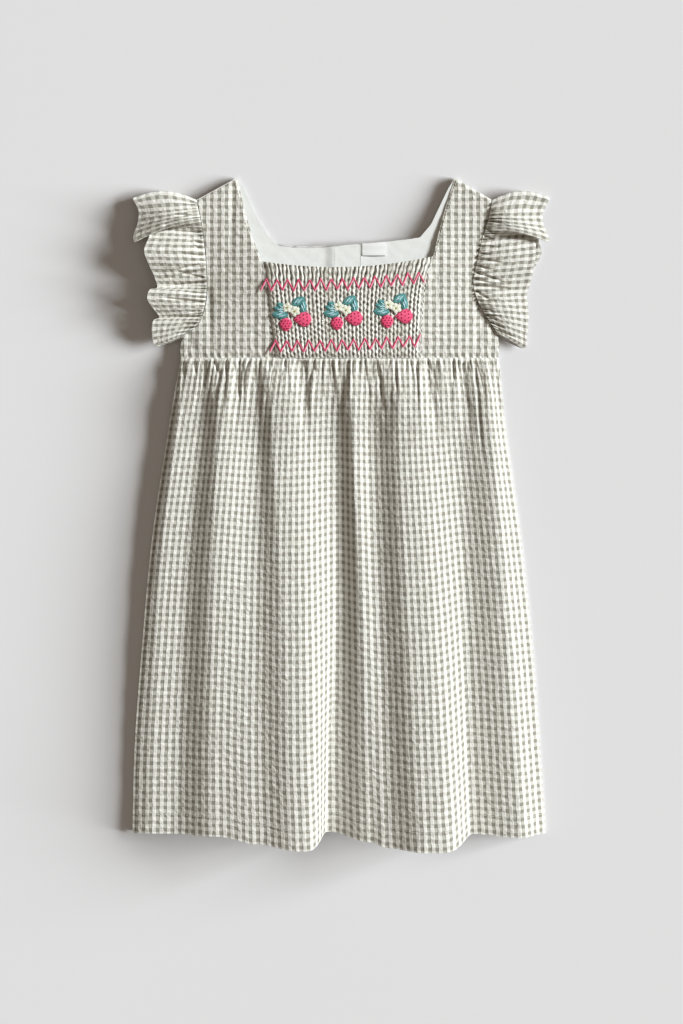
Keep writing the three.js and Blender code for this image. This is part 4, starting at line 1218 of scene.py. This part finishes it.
def patch_axes(patch):
    """The directions along a patch and across it."""
    turn = np.radians(patch.turn)
    axis = np.array([np.cos(turn), np.sin(turn)])
    return axis, np.array([-axis[1], axis[0]])


def half_width(patch, t):
    """Half the width of a patch at shares of its length."""
    return patch.width / 2 * np.sin(np.pi * t ** patch.blunt) ** SATIN_FULL


def satin_stitches(patch, middle):
    """Starts and ends of satin stitches across a leaf, a petal or a berry, and how domed each one lies."""
    count = max(3, round(patch.length / SATIN_PITCH))
    t = (np.arange(count) + 0.5) / count
    half = half_width(patch, t)
    axis, side = patch_axes(patch)
    foot = np.array(middle) + [patch.x, patch.y] + (t * patch.length)[:, None] * axis
    return foot - half[:, None] * side, foot + half[:, None] * side, half / (patch.width / 2)


def satin_patches(name, patches, material, kind):
    """One mesh of all the satin patches of one colour."""
    made = [satin_stitches(patch, middle) for middle in SPRIGS for patch in patches]
    starts, ends, domes = (np.concatenate(part) for part in zip(*made))
    lift = kind.base + kind.dome * domes
    first, second = (on_insert(flat[:, 0], flat[:, 1], lift) for flat in (starts, ends))
    bend = kind.dome * SATIN_BEND
    return lay_stitches(name, first, second, SATIN_PITCH * SATIN_COVER, kind.high, material, bend)


def berry_seeds():
    """Places of the seeds, in staggered rows on each berry."""
    found = []
    for middle in SPRIGS:
        for patch in BERRIES:
            axis, side = patch_axes(patch)
            foot = np.array(middle) + [patch.x, patch.y]
            for row, t in enumerate(SEED_ROWS):
                half = half_width(patch, t)
                for place in SEED_PLACES[row % 2]:
                    found.append(foot + t * patch.length * axis + place * half * side)
    return np.array(found)


def blossom_patches():
    """Petals round the middle of each blossom."""
    return [
        Patch(flower.x, flower.y, flower.turn + 360 * k / PETALS, flower.radius, flower.radius, PETAL_BLUNT)
        for flower in BLOSSOMS for k in range(PETALS)
    ]


def leaf_veins():
    """Starts and ends of the pale strands along each leaf."""
    starts, ends = [], []
    for middle in SPRIGS:
        for leaf in LEAFLETS:
            axis, side = patch_axes(leaf)
            foot = np.array(middle) + [leaf.x, leaf.y]
            for vein in VEINS:
                starts.append(foot + vein.start * leaf.length * axis + vein.off * side)
                ends.append(foot + vein.end * leaf.length * axis + (vein.off + VEIN_SLANT) * side)
    return np.array(starts), np.array(ends)


def checked_cloth(scene):
    """The sizes of the cloth and the material of its checked pieces."""
    return scene.dress_cloth, seersucker(scene.dress_cloth, scene.dress_colours)


# Operators, one for each piece or group of like pieces

class DRESS_OT_skirt(bpy.types.Operator):
    """Make the front of the skirt with its folds and gathers, and the back that lies under it"""

    bl_idname = "dress.skirt"
    bl_label = "Skirt"

    def execute(self, context):
        cloth, material = checked_cloth(context.scene)
        places, flat = back_skirt_grid()
        dress_cloth("back_skirt_cloth", places, flat, material, cloth.thickness, "back_skirt")
        places, flat = front_skirt_grid()
        dress_cloth("front_skirt_cloth", places, flat, material, cloth.thickness, "front_skirt")
        return {"FINISHED"}


class DRESS_OT_side_panels(bpy.types.Operator):
    """Make the two side panels of the front bodice with their shoulder straps"""

    bl_idname = "dress.side_panels"
    bl_label = "Side panels"

    def execute(self, context):
        cloth, material = checked_cloth(context.scene)
        for side, outer, inner in (("left", LEFT_ARMHOLE, LEFT_NECK), ("right", RIGHT_ARMHOLE, RIGHT_NECK)):
            places, flat = side_panel_grid(outer, inner)
            dress_cloth(f"front_bodice_{side}_cloth", places, flat, material, cloth.thickness,
                        f"front_bodice_{side}")
        return {"FINISHED"}


class DRESS_OT_smocked_insert(bpy.types.Operator):
    """Make the smocked insert with its pinched pleats and gathered heading"""

    bl_idname = "dress.smocked_insert"
    bl_label = "Smocked insert"

    def execute(self, context):
        cloth, material = checked_cloth(context.scene)
        places, flat = smocked_grid(2 * cloth.check / MM)
        dress_cloth("smocked_front_cloth", places, flat, material, cloth.thickness, "smocked_front")
        return {"FINISHED"}


class DRESS_OT_back_bodice(bpy.types.Operator):
    """Make the two halves of the back bodice and their white lining"""

    bl_idname = "dress.back_bodice"
    bl_label = "Back bodice and lining"

    def execute(self, context):
        cloth, checked = checked_cloth(context.scene)
        white = lawn(context.scene.dress_colours)
        bodice_line = right_back_line(PLACKET_FROM, NECK_AT_LAP)
        lining_line = right_back_line(PLACKET_TO + SEAM_GAP, NECK_AT_EDGE)
        layers = [
            ("back_bodice", checked, "gingham", BACK_LEVEL, BACK_RIPPLE, bodice_line),
            ("back_lining", white, "lining", LINING_TOP, LINING_RIPPLE, lining_line),
        ]
        for layer, material, slot, level, relief, right_line in layers:
            halves = (("left", LEFT_ARMHOLE, left_back_line()), ("right", RIGHT_ARMHOLE, right_line))
            for side, armhole, line in halves:
                places, flat = back_half_grid(armhole, line, side == "left", level, relief)
                dress_cloth(f"{layer}_{side}_cloth", places, flat, material, cloth.lining_thickness,
                            f"{layer}_{side}")
        return {"FINISHED"}


class DRESS_OT_label(bpy.types.Operator):
    """Make the blank label at the back of the neck"""

    bl_idname = "dress.label"
    bl_label = "Label"

    def execute(self, context):
        rows, columns = LABEL_GRID
        x = np.linspace(LABEL_LEFT, LABEL_RIGHT, columns)
        y = np.linspace(LABEL_BOTTOM, LABEL_HIGH, rows)
        flat = np.stack(np.meshgrid(x, y), axis=-1)
        middle = (flat[..., 0] - (LABEL_LEFT + LABEL_RIGHT) / 2) / (LABEL_RIGHT - LABEL_LEFT)
        bow = LABEL_BOW * (1 - 4 * middle ** 2)
        z = LABEL_TOP - LABEL_UNDER + bow + LABEL_WAVE * np.sin(flat[..., 1] * 0.9)
        places = np.dstack([flat, z])
        tape = woven_tape(context.scene.dress_colours)
        dress_cloth("back_label_tape", places, flat, tape, context.scene.dress_cloth.lining_thickness,
                    "back_label")
        return {"FINISHED"}


class DRESS_OT_ruffles(bpy.types.Operator):
    """Make the two gathered armhole ruffles"""

    bl_idname = "dress.ruffles"
    bl_label = "Ruffles"

    def execute(self, context):
        cloth, material = checked_cloth(context.scene)
        sides = (
            ("left", LEFT_RIBS, LEFT_BACK_RIBS, LEFT_ARMHOLE),
            ("right", RIGHT_RIBS, RIGHT_BACK_RIBS, RIGHT_ARMHOLE),
        )
        for side, ribs, back_ribs, armhole in sides:
            places, flat = ruffle_grid(ribs, back_ribs, armhole)
            dress_cloth(f"ruffle_{side}_cloth", places, flat, material, cloth.thickness, f"ruffle_{side}")
        return {"FINISHED"}


class DRESS_OT_zigzags(bpy.types.Operator):
    """Stitch the two zigzag rows of the smocking"""

    bl_idname = "dress.zigzags"
    bl_label = "Zigzag rows"

    def execute(self, context):
        rows = [zigzag_stitches(row) for row in ZIGZAGS]
        starts, ends = (np.concatenate(part) for part in zip(*rows))
        colours = context.scene.dress_colours
        first, second = (on_insert(flat[:, 0], flat[:, 1], ZIGZAG_LIFT) for flat in (starts, ends))
        rose = stranded_cotton("rose_stranded_cotton", colours.rose)
        lay_stitches("smocking_zigzags", first, second, *ZIGZAG_STITCH, rose, ZIGZAG_BEND)
        # A pale pink strand set off below the rose one is a painted highlight on the zigzag thread
        blush = stranded_cotton("blush_stranded_cotton", colours.blush)
        lay_stitches("smocking_zigzag_fringes", first + ZIGZAG_PAINTED_HIGHLIGHT_OFFSET, second + ZIGZAG_PAINTED_HIGHLIGHT_OFFSET, *PAINTED_HIGHLIGHT_STITCH,
                     blush, ZIGZAG_BEND)
        return {"FINISHED"}


class DRESS_OT_sprigs(bpy.types.Operator):
    """Embroider the strawberry sprigs"""

    bl_idname = "dress.sprigs"
    bl_label = "Strawberry sprigs"

    def execute(self, context):
        colours = context.scene.dress_colours
        teal = stranded_cotton("teal_stranded_cotton", colours.leaf)
        satin_patches("sprig_leaves", LEAFLETS, teal, LEAF_SATIN)
        first, second = (on_insert(flat[:, 0], flat[:, 1], VEIN_LIFT) for flat in leaf_veins())
        pale_blue = stranded_cotton("pale_blue_stranded_cotton", colours.vein)
        lay_stitches("sprig_veins", first, second, *VEIN_STITCH, pale_blue)
        pink = stranded_cotton("pink_stranded_cotton", colours.berry)
        satin_patches("sprig_berries", BERRIES, pink, BERRY_SATIN)
        x, y = berry_seeds().T
        first, second = (on_insert(x, y + end, SEED_LIFT) for end in (-SEED_HALF, SEED_HALF))
        crimson = stranded_cotton("crimson_stranded_cotton", colours.seed)
        lay_stitches("sprig_seeds", first, second, *SEED_STITCH, crimson)
        cream = stranded_cotton("cream_stranded_cotton", colours.petal)
        satin_patches("sprig_blossoms", blossom_patches(), cream, PETAL_SATIN)
        hearts = np.array([(x + flower.x, y + flower.y) for x, y in SPRIGS for flower in BLOSSOMS])
        x, y = (hearts[:, None] + np.array(KNOTS)).reshape(-1, 2).T
        first, second = (on_insert(x + end, y, KNOT_LIFT) for end in (-KNOT_HALF, KNOT_HALF))
        straw = stranded_cotton("straw_stranded_cotton", colours.heart)
        lay_stitches("sprig_hearts", first, second, *KNOT_STITCH, straw)
        return {"FINISHED"}


class DRESS_OT_sewing(bpy.types.Operator):
    """Sew the hem, the neck edges and the placket"""

    bl_idname = "dress.sewing"
    bl_label = "Seams and hems"

    def execute(self, context):
        thread = stranded_cotton("cream_sewing_cotton", context.scene.dress_colours.sewing, 0.7)
        shares = np.linspace(HEM_STITCH_END, 1 - HEM_STITCH_END, HEM_STITCH_STEPS)
        hem, _ = skirt_row(1 - HEM_STITCH_UP / SKIRT_LENGTH, shares)
        runs = [run_of_stitches(hem + [0, 0, HEM_STITCH_LIFT], *HEM_RUN)]
        for edge, inset in ((LEFT_NECK, -NECK_STITCH_IN), (RIGHT_NECK, NECK_STITCH_IN)):
            flat = spline(edge, np.linspace(CORNER_SHARE, 1, NECK_STITCH_STEPS)) + [inset, 0]
            height = bodice_under(flat[:, 0], flat[:, 1]) + CLOTH
            runs.append(run_of_stitches(np.column_stack([flat, height]), *NECK_RUN))
        x, z = PLACKET_FROM + PLACKET_STITCH_IN, LINING_TOP + LAP_LIFT
        placket = np.array([(x, WAIST_Y + PLACKET_STITCHES_FROM, z), (x, NECK_AT_LAP - PLACKET_STITCH_IN, z)])
        runs.append(run_of_stitches(placket, *PLACKET_RUN))
        starts, ends = (np.concatenate(part) for part in zip(*runs))
        lay_stitches("sewing_stitches", starts, ends, *SEWING_STITCH, thread)
        return {"FINISHED"}


# The stage, in metres. The floor is wide enough to fill a low side view.
FLOOR_LEVEL = -0.0003
FLOOR_SIZE = 40
FRAME_LONG_SIDE = 0.9143
SENSOR = 36.0
CAMERA_X, CAMERA_Y = 0.0004, 0.0018
SunLight = namedtuple("SunLight", "azimuth elevation softness share")
KEY = SunLight(26, 30, 14, 1)
# The floor takes its light from three places side by side, so that its shadows are broad and soft
FLOOR_KEYS = [SunLight(-8, 10.5, 12, 0.4), SunLight(3, 10.5, 12, 0.34), SunLight(15, 10.5, 12, 0.26)]
SUN_COLOUR = "#F6FCFF"
FILL_COLOUR = "#FFF0DD"


class DRESS_OT_stage(bpy.types.Operator):
    """Make the pale floor, the soft light and the camera straight above"""

    bl_idname = "dress.stage"
    bl_label = "Stage"

    def sunlight(self, name, light, strength, floor, floor_is):
        """A distant soft light from the right, which falls on the floor alone or on all but the floor."""
        azimuth, elevation = np.radians(light.azimuth), np.radians(light.elevation)
        bpy.ops.object.light_add(type="SUN", rotation=(0, np.pi / 2 - elevation, azimuth))
        sun = bpy.context.object
        sun.name = name
        sun.data.energy = strength * light.share
        sun.data.color = linear(SUN_COLOUR)
        sun.data.angle = np.radians(light.softness)
        lit = bpy.data.collections.new(f"lit_by_{name}")
        lit.objects.link(floor)
        lit.collection_objects[0].light_linking.link_state = floor_is
        sun.light_linking.receiver_collection = lit

    def execute(self, context):
        stage = context.scene.dress_stage
        deselect_all()
        bpy.ops.mesh.primitive_plane_add(size=FLOOR_SIZE, location=(0, 0, FLOOR_LEVEL))
        floor = context.object
        floor.name = "floor"
        floor.data.materials.append(floor_paper(stage))
        self.sunlight("key_light", KEY, stage.sun, floor, "EXCLUDE")
        for number, light in enumerate(FLOOR_KEYS, 1):
            self.sunlight(f"floor_light_{number}", light, stage.low_sun, floor, "INCLUDE")
        world = bpy.data.worlds.new("studio")
        world.use_nodes = True
        background = world.node_tree.nodes["Background"]
        background.inputs["Color"].default_value = (*linear(FILL_COLOUR), 1)
        background.inputs["Strength"].default_value = stage.sky
        context.scene.world = world
        bpy.ops.object.camera_add(location=(CAMERA_X, CAMERA_Y, stage.camera_height), rotation=(0, 0, 0))
        camera = context.object
        camera.data.sensor_width = SENSOR
        camera.data.lens = SENSOR * stage.camera_height / FRAME_LONG_SIDE
        context.scene.camera = camera
        context.scene.view_settings.view_transform = "Standard"
        return {"FINISHED"}


PIECES = (
    DRESS_OT_skirt, DRESS_OT_side_panels, DRESS_OT_smocked_insert, DRESS_OT_back_bodice, DRESS_OT_label,
    DRESS_OT_ruffles, DRESS_OT_zigzags, DRESS_OT_sprigs, DRESS_OT_sewing, DRESS_OT_stage,
)


class DRESS_PT_panel(bpy.types.Panel):
    """The pieces of the dress, and the sizes and colours that they are made with"""

    bl_label = "Gingham dress"
    bl_idname = "DRESS_PT_panel"
    bl_space_type = "VIEW_3D"
    bl_region_type = "UI"
    bl_category = "Dress"

    def draw(self, context):
        for piece in PIECES:
            self.layout.operator(piece.bl_idname)
        for group in (context.scene.dress_cloth, context.scene.dress_colours, context.scene.dress_stage):
            box = self.layout.box()
            for key in group.__annotations__:
                box.prop(group, key)


GROUPS = (DressCloth, DressColours, DressStage)


def register():
    for made in (*GROUPS, *PIECES, DRESS_PT_panel):
        bpy.utils.register_class(made)
    bpy.types.Scene.dress_cloth = bpy.props.PointerProperty(type=DressCloth)
    bpy.types.Scene.dress_colours = bpy.props.PointerProperty(type=DressColours)
    bpy.types.Scene.dress_stage = bpy.props.PointerProperty(type=DressStage)


def unregister():
    del bpy.types.Scene.dress_stage
    del bpy.types.Scene.dress_colours
    del bpy.types.Scene.dress_cloth
    for made in reversed((*GROUPS, *PIECES, DRESS_PT_panel)):
        bpy.utils.unregister_class(made)


def main():
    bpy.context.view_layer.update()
    register()
    bpy.ops.dress.skirt()
    bpy.ops.dress.side_panels()
    bpy.ops.dress.smocked_insert()
    bpy.ops.dress.back_bodice()
    bpy.ops.dress.label()
    bpy.ops.dress.ruffles()
    bpy.ops.dress.zigzags()
    bpy.ops.dress.sprigs()
    bpy.ops.dress.sewing()
    bpy.ops.dress.stage()


if __name__ == "__main__":
    main()
